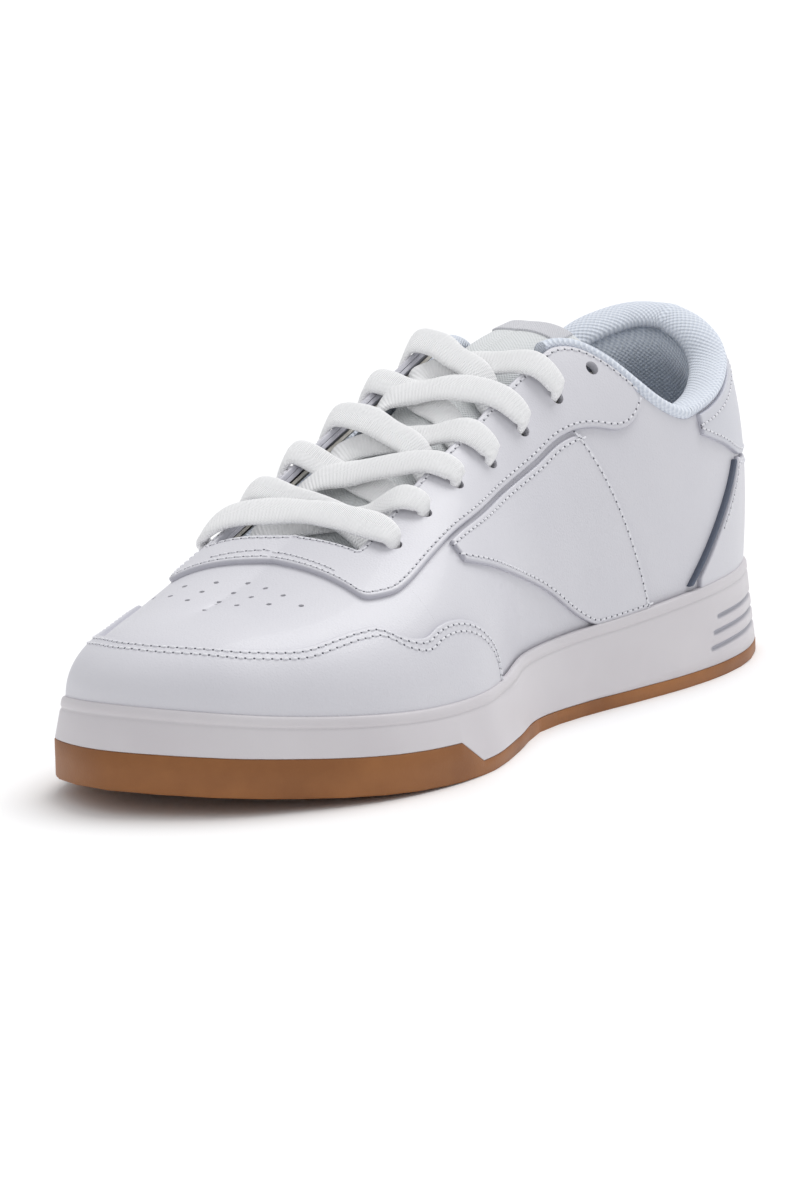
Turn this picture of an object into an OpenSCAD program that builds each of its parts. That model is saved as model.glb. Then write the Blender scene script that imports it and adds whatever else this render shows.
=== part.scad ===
/* [Overall size] */
// Length of the sole from the back of the heel to the tip of the toe
shoe_len = 300; // [240:1:360]
// Width of the sole across the ball of the foot
ball_w = 106; // [88:1:127]
// Height of the cupsole wall at the heel
wall_h = 29; // [24:0.5:35]
// Height of the instep ridge of the last above the ground at the heel end
last_h = 128; // [107:1:154]
// Height of the collar above the ground at the back of the heel
heel_collar_h = 104; // [87:1:112]
// Height of the collar above the ground at its lowest point, below the ankle bone
collar_dip_h = 80; // [67:1:90]

/* [Sole] */
// Thickness of the gum outsole under the heel and the waist
outsole_t = 4; // [3:0.5:6]
// Height of the gum toe bumper
bumper_h = 11; // [8:0.5:14]
// Rise of the toe tip above the ground
toe_spring = 7; // [3:0.5:9]
// Inward slope of the cupsole wall from its foot to its top
wall_taper = 2.5; // [1:0.5:3]
// Width of the flat land on top of the cupsole wall
wall_land = 2; // [1.5:0.5:2.5]
// Thickness of the gum outsole under the cupsole floor
outsole_floor_t = 3; // [2:0.5:3]
// Width of the gum rim round the cupsole floor
outsole_rim = 3; // [2.5:0.5:3.5]
// Thickness of the cupsole floor
cup_floor_t = 2; // [1.5:0.5:3]
// Thickness of the foam midsole under the heel
midsole_heel_t = 11; // [8:0.5:13]
// Thickness of the foam midsole under the ball
midsole_ball_t = 5; // [3:0.5:7]
// Depth of the tread grooves
tread_depth = 1.5; // [0.5:0.5:2]
// Width of the tread grooves
tread_w = 2.5; // [1.5:0.5:4]
// Depth of the three moulded grooves round the heel of the cupsole
heel_groove_d = 1.2; // [0.5:0.1:1.5]

/* [Upper] */
// Thickness of the leather base layer
leather_t = 1.3; // [1:0.1:1.6]
// Thickness of the leather overlays
overlay_t = 1.1; // [0.8:0.1:1.4]
// Thickness of the toe and heel stiffeners
stiffener_t = 0.9; // [0.6:0.1:1.2]
// Thickness of the lining
lining_t = 1; // [0.6:0.1:1.4]
// Thickness of the foam in the collar
collar_pad_t = 6; // [3:0.5:8]
// Radius of the rolled collar edge
collar_roll_r = 2.2; // [1.5:0.1:3]
// Clearance between two layers of the upper
layer_gap = 0.3; // [0.2:0.05:0.5]

/* [Lacing] */
// Number of eyelets on each side
eyelet_n = 7; // [5:1:8]
// Radius of an eyelet
eyelet_r = 2.2; // [1.8:0.1:2.6]
// Distance of the eyelet row from the throat edge
eyelet_inset = 8; // [6:0.5:10]
// Width of the flat lace
lace_w = 8; // [5:0.5:10]
// Thickness of the flat lace
lace_t = 2.2; // [1.5:0.1:2.6]

/* [Tongue and sockliner] */
// Thickness of the tongue padding
tongue_pad_t = 4.5; // [3:0.5:7]
// Width of tongue that lies under each side of the throat
tongue_lap = 6; // [4:0.5:8]
// Thickness of the sockliner
sockliner_t = 4.5; // [3:0.5:6]
// Clearance all round the sockliner
sockliner_gap = 1.8; // [1:0.1:3]

/* [Hidden] */

// The last, drawn at the size that its stations are written for.
LAST_LEN = 300;
LAST_W = 106;
LAST_WALL = 29;
LAST_RIDGE = 128;
LAST_COLLAR = 104;
LAST_DIP = 80;
// One station per row, from the heel to the toe tip:
// x, lateral and medial half width, wall height, then the ridge's x, y and z.
STATIONS = [
    [0, 0, 0, 29, 46, 0, 128],
    [8, 22.5, 20, 29, 48, 0, 127],
    [29, 35, 32.5, 29, 54, -1, 125],
    [53, 40.5, 36.5, 28.5, 66, -3, 122],
    [78, 41, 36.5, 27.5, 84, -6, 118],
    [103, 38.5, 34.5, 26, 105, -9, 113],
    [128, 35.5, 34, 25, 128, -11, 104],
    [153, 36, 37, 23.5, 152, -11, 92],
    [178, 45, 43, 22, 175, -11, 79],
    [203, 52.5, 49, 22, 196, -11, 67],
    [228, 53, 52.5, 22.5, 214, -11, 58.5],
    [251, 47.5, 52, 24, 228, -11, 54],
    [272, 34.5, 46.5, 26, 238, -11, 51.5],
    [289, 17.5, 36, 28.5, 245, -11, 50],
    [300, -11, 11, 30.5, 248, -11, 49]
];
// Fullness of each station's arch and its outward swell, on the lateral and the medial side.
ARCHES = [
    [2.5, 2.5, 2, 2], [2.5, 2.5, 2, 2], [2.5, 2.5, 2, 2], [2.4, 3, 2, 2.5], [2.3, 4, 2, 4],
    [2.2, 5, 1.5, 6], [2.2, 5.5, 1.5, 8], [2.3, 5, 1.5, 8], [2.4, 4.5, 1, 5], [2.4, 3.8, 0.5, 3],
    [2.4, 3, 0, 1.5], [2.3, 2.5, 0, 0], [2.3, 2.3, 0, 0], [2.3, 2.3, 0, 0], [2.3, 2.3, 0, 0]
];
TOE = len(STATIONS) - 1;
TURN = 2 * TOE;

// Collar height by station, as drawn on the last, on each side.
COLLAR_LATERAL = [[0, 104], [0.5, 101], [1, 96], [1.5, 90.5], [2, 86.5], [2.6, 82.5], [3.1, 80.5], [3.4, 80],
    [3.7, 82.5], [3.95, 86.5], [4.2, 92.5], [4.45, 99.5], [4.65, 103.5], [4.9, 105], [5.2, 104]];
COLLAR_MEDIAL = [[0, 104], [1, 104.5], [1.5, 103], [2, 100], [2.5, 94], [3, 86], [3.3, 82], [3.6, 82],
    [3.9, 86], [4.2, 93], [4.5, 100], [4.8, 103], [5.2, 103]];
// Station of the collar's lowest point, on the lateral side.
DIP_STATION = 3.4;
// Top of the heel counter, as drawn on the last.
COUNTER_TOP = 58;
// Station at which the collar meets the throat, and the station of the throat's front edge.
THROAT_BACK = 5.2;
THROAT_FRONT = 9.55;
// Half width of the throat at its back and its front, on each side of the ridge.
THROAT_HALF_LATERAL = [20.5, 24];
THROAT_HALF_MEDIAL = [15, 24];
// First and last eyelet's stations.
EYELET_FIRST = 9.15;
EYELET_LAST = 4.7;

// Station and height of the edges of the overlays, as drawn on the last.
MUDGUARD_EDGE = [[8.2, 24], [8.4, 32], [8.7, 38.5], [9, 42], [9.3, 43.2], [9.6, 42.5], [9.9, 40.5],
    [10.2, 41.5], [10.5, 44.5], [10.8, 44.5], [11.2, 43.5], [11.7, 42], [12.4, 42.5], [13.2, 43.7], [14, 44.2]];
EYESTAY_EDGE = [[4.2, 86], [4.45, 81.5], [4.7, 80.3], [5, 82], [5.3, 82.6], [5.6, 81.5], [6.25, 75.7],
    [7.15, 69.2], [8.3, 63], [8.95, 58], [9.5, 53.5], [9.8, 51.5], [10.1, 51]];
EYESTAY_FRONT = 10.3;
SADDLE_FRONT = [[4.4, 24], [5.5, 25], [6.6, 41], [7.85, 52.4], [8.5, 56.5]];
SADDLE_BACK_FOOT = 4.5;
SADDLE_BACK_TOP = 5.35;
SADDLE_TIP = 8.45;
HEEL_PANEL_FOOT = 3.7;
HEEL_PANEL_TOP = 2.1;
HEEL_TAB_EDGE = [[0, 62], [1, 62.5], [2, 64.5], [2.5, 69], [3.1, 74]];
HEEL_TAB_END = 3.1;

// Layers of the upper, measured outward from the face of the leather base layer.
FEATHER_INSET = wall_taper + wall_land + 0.5;
BASE = [-leather_t, 0];
OVERLAY = [layer_gap, layer_gap + overlay_t];
STIFFENER = [-leather_t - 2 * layer_gap - stiffener_t, -leather_t - 2 * layer_gap];
LINING_FACE = STIFFENER[0] - 2 * layer_gap;
LINING = [LINING_FACE - lining_t, LINING_FACE];
LACE_RUN = LINING[0] - layer_gap - lace_t / 2;
TONGUE_TOP = LACE_RUN - lace_t / 2 - 1;
TONGUE_SKIN = 1;

// Sole levels.
NOTCH_BACK = 9.25;
NOTCH_FRONT = 9.7;
SPRING_START = 200;
BOARD_T = 1.2;
FIT = 0.1;

// Scales from the drawn last to the chosen sizes.
kx = shoe_len / LAST_LEN;
ky = ball_w / LAST_W;
kwall = wall_h / LAST_WALL;

function mix(a, b, f) = a + (b - a) * f;
function unit(v) = v / norm(v);
function wrap(i) = ((i % TURN) + TURN) % TURN;
function side(t) = wrap(t) > TOE ? -1 : 1;
function station(t) = wrap(t) > TOE ? TURN - wrap(t) : wrap(t);

// A row of the closed loop of stations: x, y, wall height, ridge x, y, z, fullness, swell.
function drawn_row(i) = let (
        k = i > TOE ? TURN - i : i,
        s = i > TOE ? 1 : 0,
        a = STATIONS[k],
        wall = a[3] * kwall,
        y = (s == 1 ? -a[2] : a[1]) * ky)
    [a[0] * kx - shoe_len / 2, y, wall, a[4] * kx - shoe_len / 2, a[5] * ky,
        wall + (a[6] - a[3]) * (last_h - wall_h) / (LAST_RIDGE - LAST_WALL), ARCHES[k][s], ARCHES[k][2 + s]];
LOOP = [for (i = [0:TURN - 1]) drawn_row(i)];

// A smooth closed curve through the rows of the loop.
function row(t) = let (
        i = floor(t), f = t - i,
        a = LOOP[wrap(i - 1)], b = LOOP[wrap(i)], c = LOOP[wrap(i + 1)], d = LOOP[wrap(i + 2)])
    (2 * b + (c - a) * f + (2 * a - 5 * b + 4 * c - d) * f * f + (3 * b - a - 3 * c + d) * f * f * f) / 2;
function outward(t) = let (d = row(t + 0.01) - row(t - 0.01)) unit([-d[1], d[0]]);

// The sole's plan, moved inward by an inset.
function plan(t, inset) = let (r = row(t), n = outward(t)) [r[0] - n[0] * inset, r[1] - n[1] * inset];
function wall_top(t) = row(t)[2];
function spring(x) = let (past = max(0, x + shoe_len / 2 - SPRING_START * kx))
    toe_spring * pow(past / (shoe_len - SPRING_START * kx), 2);
function notch(t) = min(1, max(0, (station(t) - NOTCH_BACK) / (NOTCH_FRONT - NOTCH_BACK)));
function gum_top(t) = spring(row(t)[0]) + mix(outsole_t, bumper_h, notch(t));
function tray_floor(t) = spring(row(t)[0]) + outsole_floor_t;
function cup_floor(t) = tray_floor(t) + FIT + cup_floor_t;
function midsole_top(t) = let (f = min(1, max(0, (row(t)[0] + shoe_len / 2) / (SPRING_START * kx))))
    cup_floor(t) + FIT + mix(midsole_heel_t, midsole_ball_t, f * f * (3 - 2 * f));

// A point of the skin of the last: v runs from the welt (0) up to the ridge (1), and below 0 inside the cup.
// Above 1 the same line runs on down the other side.
function on_last(t, v) = v > 1 ? on_last(TURN - wrap(t), 2 - v) : let (
        r = row(t),
        n = outward(t),
        foot = plan(t, FEATHER_INSET),
        welt = r[2] - 1)
    v <= 0 ? [foot[0], foot[1], mix(welt, midsole_top(t) + FIT, -v)] : let (
        arch = 90 * v,
        in = 1 - pow(max(0, cos(arch)), 2 / r[6]),
        up = pow(sin(arch), 2 / r[6]),
        swell = r[7] * sin(180 * up))
    [mix(foot[0], r[3], in) + n[0] * swell, mix(foot[1], r[4], in) + n[1] * swell, mix(welt, r[5], up)];
function normal(t, v) = v > 1 ? normal(TURN - wrap(t), 2 - v) :
    v <= 0.005 ? [outward(t)[0], outward(t)[1], 0] : let (
        hi = min(0.995, v + 0.01), lo = max(0.001, hi - 0.02))
    unit(cross(on_last(t, hi) - on_last(t, lo), on_last(t + 0.02, v) - on_last(t - 0.02, v)));
function skin(t, v, off) = on_last(t, v) + normal(t, v) * off;

// Height along a station's line at which a level, or a distance from the ridge, is met.
function v_at_level(t, z) = let (r = row(t), up = min(1, max(0, (z - r[2] + 1) / (r[5] - r[2] + 1))))
    asin(pow(up, r[6] / 2)) / 90;
function ridge_dist(t, v) = abs(on_last(t, v)[1] - row(t)[4]);
function v_at_ridge_dist(t, d, lo = 0.25, hi = 1, n = 14) = let (m = (lo + hi) / 2)
    n == 0 ? m
    : ridge_dist(t, m) > d ? v_at_ridge_dist(t, d, m, hi, n - 1)
    : v_at_ridge_dist(t, d, lo, m, n - 1);

// A level drawn on the last, at the chosen sizes.
function drawn_level(t, z) = let (wall = row(t)[2])
    wall + (z - wall / kwall) * (last_h - wall_h) / (LAST_RIDGE - LAST_WALL);
function collar_level(t) = let (
        k = station(t),
        heel_shift = heel_collar_h - drawn_level(0, LAST_COLLAR),
        dip_shift = collar_dip_h - drawn_level(DIP_STATION, LAST_DIP),
        fade = min(1, max(0, (THROAT_BACK - 0.5 - k) / (THROAT_BACK - 0.5 - DIP_STATION))))
    drawn_level(t, lookup(k, side(t) > 0 ? COLLAR_LATERAL : COLLAR_MEDIAL))
        + (k < DIP_STATION ? mix(heel_shift, dip_shift, k / DIP_STATION) : dip_shift * fade);
function throat_half(t) = let (h = side(t) > 0 ? THROAT_HALF_LATERAL : THROAT_HALF_MEDIAL)
    mix(h[0], h[1], (station(t) - THROAT_BACK) / (THROAT_FRONT - THROAT_BACK)) * ky;
function v_top(t) = station(t) < THROAT_BACK ? v_at_level(t, collar_level(t))
    : v_at_ridge_dist(t, throat_half(t));
function v_eyestay(t) = v_at_level(t, drawn_level(t, lookup(station(t), EYESTAY_EDGE)));
function v_above_wall(t) = v_at_level(t, wall_top(t) + layer_gap);

// Foam bulge of the collar, thickest a little below its edge, none at the throat: its depth down the line,
// how far its fullest part leans to the edge, and the station where it ends.
PAD_DEPTH = 0.27;
PAD_LEAN = 0.7;
PAD_END = 4.3;
function padding(t, v) = let (
        top = v_top(t),
        f = (top - v) / PAD_DEPTH,
        fade = min(1, max(0, PAD_END - station(t))))
    v < 0 || f > 1 || f < 0 ? 0 : collar_pad_t * fade * sin(180 * pow(f, PAD_LEAN));

// Grids of points: stations along the rows, points up each row.
function steps(a, b, n) = [for (i = [0:n]) a + (b - a) * i / n];
function grid(ts, vs, off) = [for (t = ts) [for (v = vs(t)) skin(t, v, off(t, v))]];

// The closed shell between an outer and an inner grid. A zipped shell folds its last row
// onto itself, which closes it round the toe.
module shell(outer, inner, zipped = false) {
    m = len(outer);
    n = len(outer[0]);
    last = m - 1;
    function at(i, j) = i == last && zipped && j > n - 1 - j ? i * n + n - 1 - j : i * n + j;
    function in(i, j) = m * n + at(i, j);
    outer_faces = [for (i = [0:m - 2], j = [0:n - 2]) each [
        [at(i, j), at(i + 1, j), at(i + 1, j + 1)], [at(i, j), at(i + 1, j + 1), at(i, j + 1)],
        [in(i, j), in(i + 1, j + 1), in(i + 1, j)], [in(i, j), in(i, j + 1), in(i + 1, j + 1)]]];
    side_rims = [for (i = [0:m - 2]) each [
        [at(i + 1, 0), at(i, 0), in(i, 0)], [at(i + 1, 0), in(i, 0), in(i + 1, 0)],
        [at(i, n - 1), at(i + 1, n - 1), in(i + 1, n - 1)], [at(i, n - 1), in(i + 1, n - 1), in(i, n - 1)]]];
    start_rim = [for (j = [0:n - 2]) each [
        [at(0, j), at(0, j + 1), in(0, j + 1)], [at(0, j), in(0, j + 1), in(0, j)]]];
    end_rim = zipped ? [] : [for (j = [0:n - 2]) each [
        [at(last, j + 1), at(last, j), in(last, j)], [at(last, j + 1), in(last, j), in(last, j + 1)]]];
    faces = concat(outer_faces, side_rims, start_rim, end_rim);
    polyhedron([for (r = concat(outer, inner)) each r],
        [for (f = faces) if (f[0] != f[1] && f[1] != f[2] && f[0] != f[2]) f]);
}

module layer(ts, vs, band, zipped = false)
    shell(grid(ts, vs, function(t, v) band[1]), grid(ts, vs, function(t, v) band[0]), zipped);

// A solid between closed rings of the plan, from the first ring to the last.
SOLE_TS = concat(steps(0, 9, 18), [NOTCH_BACK, NOTCH_FRONT], steps(10, 13.5, 7));
RING_TS = concat([for (t = SOLE_TS) t], [TOE], [for (i = [len(SOLE_TS) - 1:-1:1]) TURN - SOLE_TS[i]]);
function ring(inset, level) = [for (t = RING_TS) let (p = plan(t, inset(t))) [p[0], p[1], level(t)]];
module loft(rings) {
    n = len(RING_TS);
    m = len(rings);
    half = n / 2;
    walls = [for (k = [0:m - 2], i = [0:n - 1]) let (a = k * n + i, b = k * n + (i + 1) % n)
        each [[a, b, b + n], [a, b + n, a + n]]];
    function cap(k, up) = [for (i = [0:half - 1]) let (
            a = k * n + i, b = k * n + i + 1, c = k * n + (n - i - 1), d = k * n + (n - i) % n)
        each (i == 0 ? [[a, b, c]] : i == half - 1 ? [[a, b, d]] : [[a, b, c], [a, c, d]])];
    polyhedron([for (r = rings) each r], concat(walls,
        [for (f = cap(0)) [f[2], f[1], f[0]]], [for (f = cap(m - 1)) f]));
}

// Holes for the laces, square to the leather.
function eyelet_station(i) = mix(EYELET_FIRST, EYELET_LAST, i / (eyelet_n - 1));
function eyelet_t(i, s) = s > 0 ? eyelet_station(i) : TURN - eyelet_station(i);
function eyelet_v(t) = v_at_ridge_dist(t, throat_half(t) + eyelet_inset);
module eyelets(sides) {
    for (s = sides, i = [0:eyelet_n - 1]) {
        t = eyelet_t(i, s);
        v = eyelet_v(t);
        n = normal(t, v);
        translate(skin(t, v, LINING[0] - 2)) rotate([0, acos(n[2]), atan2(n[1], n[0])])
            cylinder(r = eyelet_r, h = OVERLAY[1] - LINING[0] + 4, $fn = 32);
    }
}

// Sole.
PROFILE_TS = [for (t = RING_TS) if (t <= TOE) t];
OVERLAP = 1;
// A slab as wide as the shoe, from a lower edge line up to an upper one, both given from heel to toe.
module profile(low, high) {
    x_end = shoe_len / 2 + OVERLAP;
    last = len(low) - 1;
    rotate([90, 0, 0]) translate([0, 0, -ball_w]) linear_extrude(height = 2 * ball_w) polygon(concat(
        [[-x_end, low[0][1]]], low, [[x_end, low[last][1]], [x_end, high[last][1]]],
        [for (i = [last:-1:0]) high[i]], [[-x_end, high[0][1]]]));
}
function line_of(level) = [for (t = PROFILE_TS) [row(t)[0], level(t)]];
module plan_prism(inset, height) linear_extrude(height = height) polygon([for (t = RING_TS) plan(t, inset)]);
module outsole() {
    height = bumper_h + toe_spring + OVERLAP;
    foot = line_of(function(t) spring(row(t)[0]));
    top = line_of(function(t) gum_top(t));
    floor_line = line_of(function(t) tray_floor(t));
    above = [for (p = foot) [p[0], height + OVERLAP]];
    color("peru") difference() {
        intersection() {
            plan_prism(0, height);
            profile(foot, top);
        }
        intersection() {
            plan_prism(outsole_rim, height + OVERLAP);
            profile(floor_line, above);
        }
        intersection() {
            translate([0, 0, -OVERLAP]) plan_prism(outsole_rim, height);
            tread();
        }
    }
}
// Tread: slanting pairs of grooves under the heel and the ball, and pivot rings under the ball.
CUT_H = 20;
module chevron(x) {
    angle = 28;
    start = 6;
    for (s = [-1, 1]) translate([x, 0, spring(x) + tread_depth - CUT_H]) rotate([0, 0, s * (90 - angle)])
        translate([start, -tread_w / 2, 0]) cube([ball_w, tread_w, CUT_H]);
}
module tread() {
    pitch = 9 * kx;
    heel_start = -138 * kx;
    ball_start = 12 * kx;
    toe_start = 92 * kx;
    pivot_x = 66 * kx;
    for (i = [0:7]) chevron(heel_start + i * pitch);
    for (i = [0:2]) chevron(ball_start + i * pitch);
    for (i = [0:4]) chevron(toe_start + i * pitch);
    for (r = [10, 16, 22]) translate([pivot_x, 0, tread_depth - CUT_H]) difference() {
        cylinder(r = r, h = CUT_H, $fn = 64);
        translate([0, 0, -OVERLAP]) cylinder(r = r - tread_w, h = CUT_H + 2 * OVERLAP, $fn = 64);
    }
}
module cupsole() {
    groove_end = [3.1, 3.3, 3.4];
    groove_drop = [11, 15, 19.5];
    groove_half = 0.9;
    function wall_inset(z, t) = wall_taper * max(0, (z - gum_top(t)) / (wall_top(t) - gum_top(t)));
    function groove_level(k, f) = function(t) wall_top(t) - groove_drop[k] * kwall + f * groove_half;
    function groove_inset(k, f, deep) = function(t) wall_inset(groove_level(k, f)(t), t)
        + (deep && station(t) < groove_end[k] ? heel_groove_d : 0);
    groove_rings = [for (k = [2, 1, 0]) each [
        ring(groove_inset(k, -1, false), groove_level(k, -1)),
        ring(groove_inset(k, -0.5, true), groove_level(k, -0.5)),
        ring(groove_inset(k, 0.5, true), groove_level(k, 0.5)),
        ring(groove_inset(k, 1, false), groove_level(k, 1))]];
    rim = wall_taper + wall_land;
    nest = outsole_rim + FIT;
    color("white") loft(concat(
        [ring(function(t) nest, function(t) tray_floor(t) + FIT),
            ring(function(t) nest, function(t) gum_top(t)),
            ring(function(t) 0, function(t) gum_top(t))],
        [for (g = groove_rings) [for (i = [0:len(g) - 1]) let (floor_z = gum_top(RING_TS[i]) + 0.2)
            station(RING_TS[i]) < 4.2 ? g[i] : [g[i][0], g[i][1], max(g[i][2], floor_z)]]],
        [ring(function(t) wall_taper, function(t) wall_top(t)),
            ring(function(t) rim, function(t) wall_top(t)),
            ring(function(t) rim, function(t) cup_floor(t))]));
}
module midsole() {
    gap = wall_taper + wall_land + FIT;
    color("whitesmoke") loft([ring(function(t) gap, function(t) cup_floor(t) + FIT),
        ring(function(t) gap, function(t) midsole_top(t))]);
}
module lasting_board() {
    inset = FEATHER_INSET - LINING[0] + 4 * FIT;
    color("tan") loft([ring(function(t) inset, function(t) midsole_top(t) + FIT),
        ring(function(t) inset, function(t) midsole_top(t) + FIT + BOARD_T)]);
}
module sockliner() {
    inset = FEATHER_INSET - LINING[0] + sockliner_gap;
    under = FIT + BOARD_T + layer_gap;
    edge = 1;
    color("lightsteelblue") loft([ring(function(t) inset, function(t) midsole_top(t) + under),
        ring(function(t) inset, function(t) midsole_top(t) + under + sockliner_t - edge),
        ring(function(t) inset + edge, function(t) midsole_top(t) + under + sockliner_t)]);
}

// Upper.
BUTT = 0.01;
function quarter_ts(s) = let (ts = concat([BUTT], steps(0.5, 3, 5), [3.4, 3.7, 3.95, 4.2, 4.45, 4.7, 4.95],
        [THROAT_BACK], steps(5.6, 9.2, 9), [THROAT_FRONT - BUTT]))
    s > 0 ? ts : [for (i = [len(ts) - 1:-1:0]) TURN - ts[i]];
full_height = function(t) let (top = v_top(t))
    concat([-1, -0.3], [for (f = steps(0, 1, 10)) top * pow(f, 1.1)]);
FRONT_TS = concat([THROAT_FRONT + BUTT], steps(10, TOE, 8));
over_ridge = function(t) let (half = concat([-1, -0.3], steps(0, 1, 8)))
    concat(half, [for (i = [len(half) - 2:-1:0]) 2 - half[i]]);

module vamp() {
    hole_r = 0.8;
    color("white") difference() {
        layer(FRONT_TS, function(t) over_ridge(t), BASE, zipped = true);
        perforations(hole_r);
    }
}
// The perforated triangle behind the toe: four columns of holes that shorten away from the middle.
module perforations(hole_r) {
    counts = [4, 3, 2, 1];
    across = 8.5;
    along = 7;
    first = 102;
    for (c = [0:3], s = c == 0 ? [1] : [-1, 1], i = [0:counts[c] - 1]) {
        x = (first - i * along - c * along / 2) * kx;
        y = -11 * ky + s * c * across;
        translate([x, y, wall_h]) cylinder(r = hole_r, h = last_h, $fn = 16);
    }
}
module quarter(s) {
    difference() {
        layer(quarter_ts(s), function(t) full_height(t), BASE);
        eyelets([s]);
    }
}
module quarter_lateral() color("white") quarter(1);
module quarter_medial() color("white") quarter(-1);
module toe_puff()
    color("linen") layer(concat([11.5], steps(12, TURN - 12, 8), [TURN - 11.5]),
        function(t) steps(0.05, 0.55, 5), STIFFENER);
module heel_counter()
    color("linen") layer(steps(-3.4, 3.4, 16), function(t) steps(v_at_level(t, wall_top(t)),
        v_at_level(t, drawn_level(t, COUNTER_TOP)), 5), STIFFENER);
module vamp_lining()
    color("gainsboro") layer(FRONT_TS, function(t) over_ridge(t), LINING, zipped = true);
module quarter_lining() {
    lateral = quarter_ts(1);
    last = len(lateral) - 1;
    ts = concat([for (i = [last:-1:1]) -lateral[i]], [0], [for (i = [1:last]) lateral[i]]);
    color("lightsteelblue") difference() {
        shell(grid(ts, full_height, function(t, v) LINING[1] - padding(t, v)),
            grid(ts, full_height, function(t, v) LINING[0] - padding(t, v)));
        eyelets([1, -1]);
    }
}
FOAM_GAP = 0.9;
module collar_foam() {
    ts = concat([for (t = [4.1, 3.7, 3.4, 3]) -t], steps(-2.5, 2.5, 10), [3, 3.4, 3.7, 4.1]);
    foam_depth = 0.26;
    function counter_v(t) = v_at_level(t, drawn_level(t, COUNTER_TOP));
    heights = function(t) steps(max(v_top(t) - foam_depth, counter_v(t) + 0.02), v_top(t) - 0.01, 6);
    color("khaki") shell(grid(ts, heights, function(t, v) BASE[0] - 2 * layer_gap),
        grid(ts, heights, function(t, v) LINING[1] + FOAM_GAP - padding(t, v)));
}
// A tube through points, each with a width and a thickness; the width lies along the ridge.
module ribbon(stops, sides) {
    n = len(stops);
    rings = [for (i = [0:n - 1]) let (
            p = stops[i],
            along = unit(stops[min(n - 1, i + 1)][0] - stops[max(0, i - 1)][0]),
            wide = unit(RIDGE_DIR - along * (RIDGE_DIR * along)),
            thick = cross(along, wide))
        each [for (k = [0:sides - 1]) let (a = 360 * (k + 0.5) / sides)
            p[0] + wide * p[1] / 2 * cos(a) + thick * p[2] / 2 * sin(a)]];
    polyhedron(rings, concat(
        [for (i = [0:n - 2], k = [0:sides - 1]) let (a = i * sides + k, b = i * sides + (k + 1) % sides)
            each [[a, b + sides, b], [a, a + sides, b + sides]]],
        [for (k = [1:sides - 2]) [0, k, k + 1]],
        [for (k = [1:sides - 2]) [(n - 1) * sides, (n - 1) * sides + k + 1, (n - 1) * sides + k]]));
}
ROLL_LIFT = 5;
module collar_roll() {
    ts = concat([for (t = [5.1, 4.9, 4.7, 4.5, 4.3, 4.1, 3.9, 3.65, 3.4]) -t], steps(-3, 3, 12),
        [3.4, 3.65, 3.9, 4.1, 4.3, 4.5, 4.7, 4.9, 5.1]);
    function edge(t) = skin(t, v_top(t), (LINING[0] + OVERLAY[1]) / 2);
    function axis_point(t) = let (along = unit(edge(t + 0.05) - edge(t - 0.05)))
        edge(t) + unit(cross(along, normal(t, v_top(t)))) * (collar_roll_r + ROLL_LIFT * layer_gap);
    color("lightsteelblue") tube([for (t = ts) axis_point(t)], collar_roll_r, 8);
}
// A round tube through points that never run straight up.
module tube(points, r, sides) {
    n = len(points);
    rings = [for (i = [0:n - 1]) let (
            along = unit(points[min(n - 1, i + 1)] - points[max(0, i - 1)]),
            across = unit(cross(along, [0, 0, 1])),
            up = cross(across, along))
        each [for (k = [0:sides - 1]) let (a = 360 * k / sides) points[i] + r * (across * cos(a) + up * sin(a))]];
    polyhedron(rings, concat(
        [for (i = [0:n - 2], k = [0:sides - 1]) let (a = i * sides + k, b = i * sides + (k + 1) % sides)
            each [[a, b, b + sides], [a, b + sides, a + sides]]],
        [for (k = [1:sides - 2]) [0, k + 1, k]],
        [for (k = [1:sides - 2]) [(n - 1) * sides, (n - 1) * sides + k, (n - 1) * sides + k + 1]]));
}

// Overlays.
function patch(m, n, place, off) =
    [for (i = [0:m]) [for (j = [0:n]) let (q = place(i / m, j / n)) skin(q[0], q[1], off)]];
module mudguard() {
    half = [8.2, 8.4, 8.7, 9, 9.3, 9.6, 9.9, 10.2, 10.5, 10.8, 11.2, 11.6, 12, 12.5, 13, 13.5];
    ts = concat(half, [TOE], [for (i = [len(half) - 1:-1:0]) TURN - half[i]]);
    color("white") layer(ts, function(t) steps(v_above_wall(t),
        v_at_level(t, drawn_level(t, lookup(station(t), MUDGUARD_EDGE))), 4), OVERLAY);
}
// Outer and inner edge of the eyestay, from the lateral collar round the throat to the medial collar.
function eyestay_leg() = [4.2, 4.35, 4.5, 4.7, 4.95, 5.2, 5.6, 6, 6.4, 6.8, 7.2, 7.6, 8, 8.4, 8.8, 9.2];
function leg_row(t, s) = s > 0 ? [[t, v_eyestay(t)], [t, v_top(t)]]
    : [[t, 2 - v_eyestay(TURN - t)], [t, 2 - v_top(TURN - t)]];
function corner_row(t, s) = let (row_in = leg_row(THROAT_FRONT - BUTT, s), row_out = leg_row(t, s))
    [row_out[0], [row_in[1][0], mix(row_in[1][1], 1, (t - THROAT_FRONT) * 0.12)]];
function bridge_row(f) = let (a = corner_row(10.1, 1), b = corner_row(10.1, -1))
    [[EYESTAY_FRONT, mix(a[0][1] + 0.02, b[0][1] - 0.02, f)],
        [a[1][0], mix(a[1][1], b[1][1], mix(0.06, 0.94, f))]];
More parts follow.
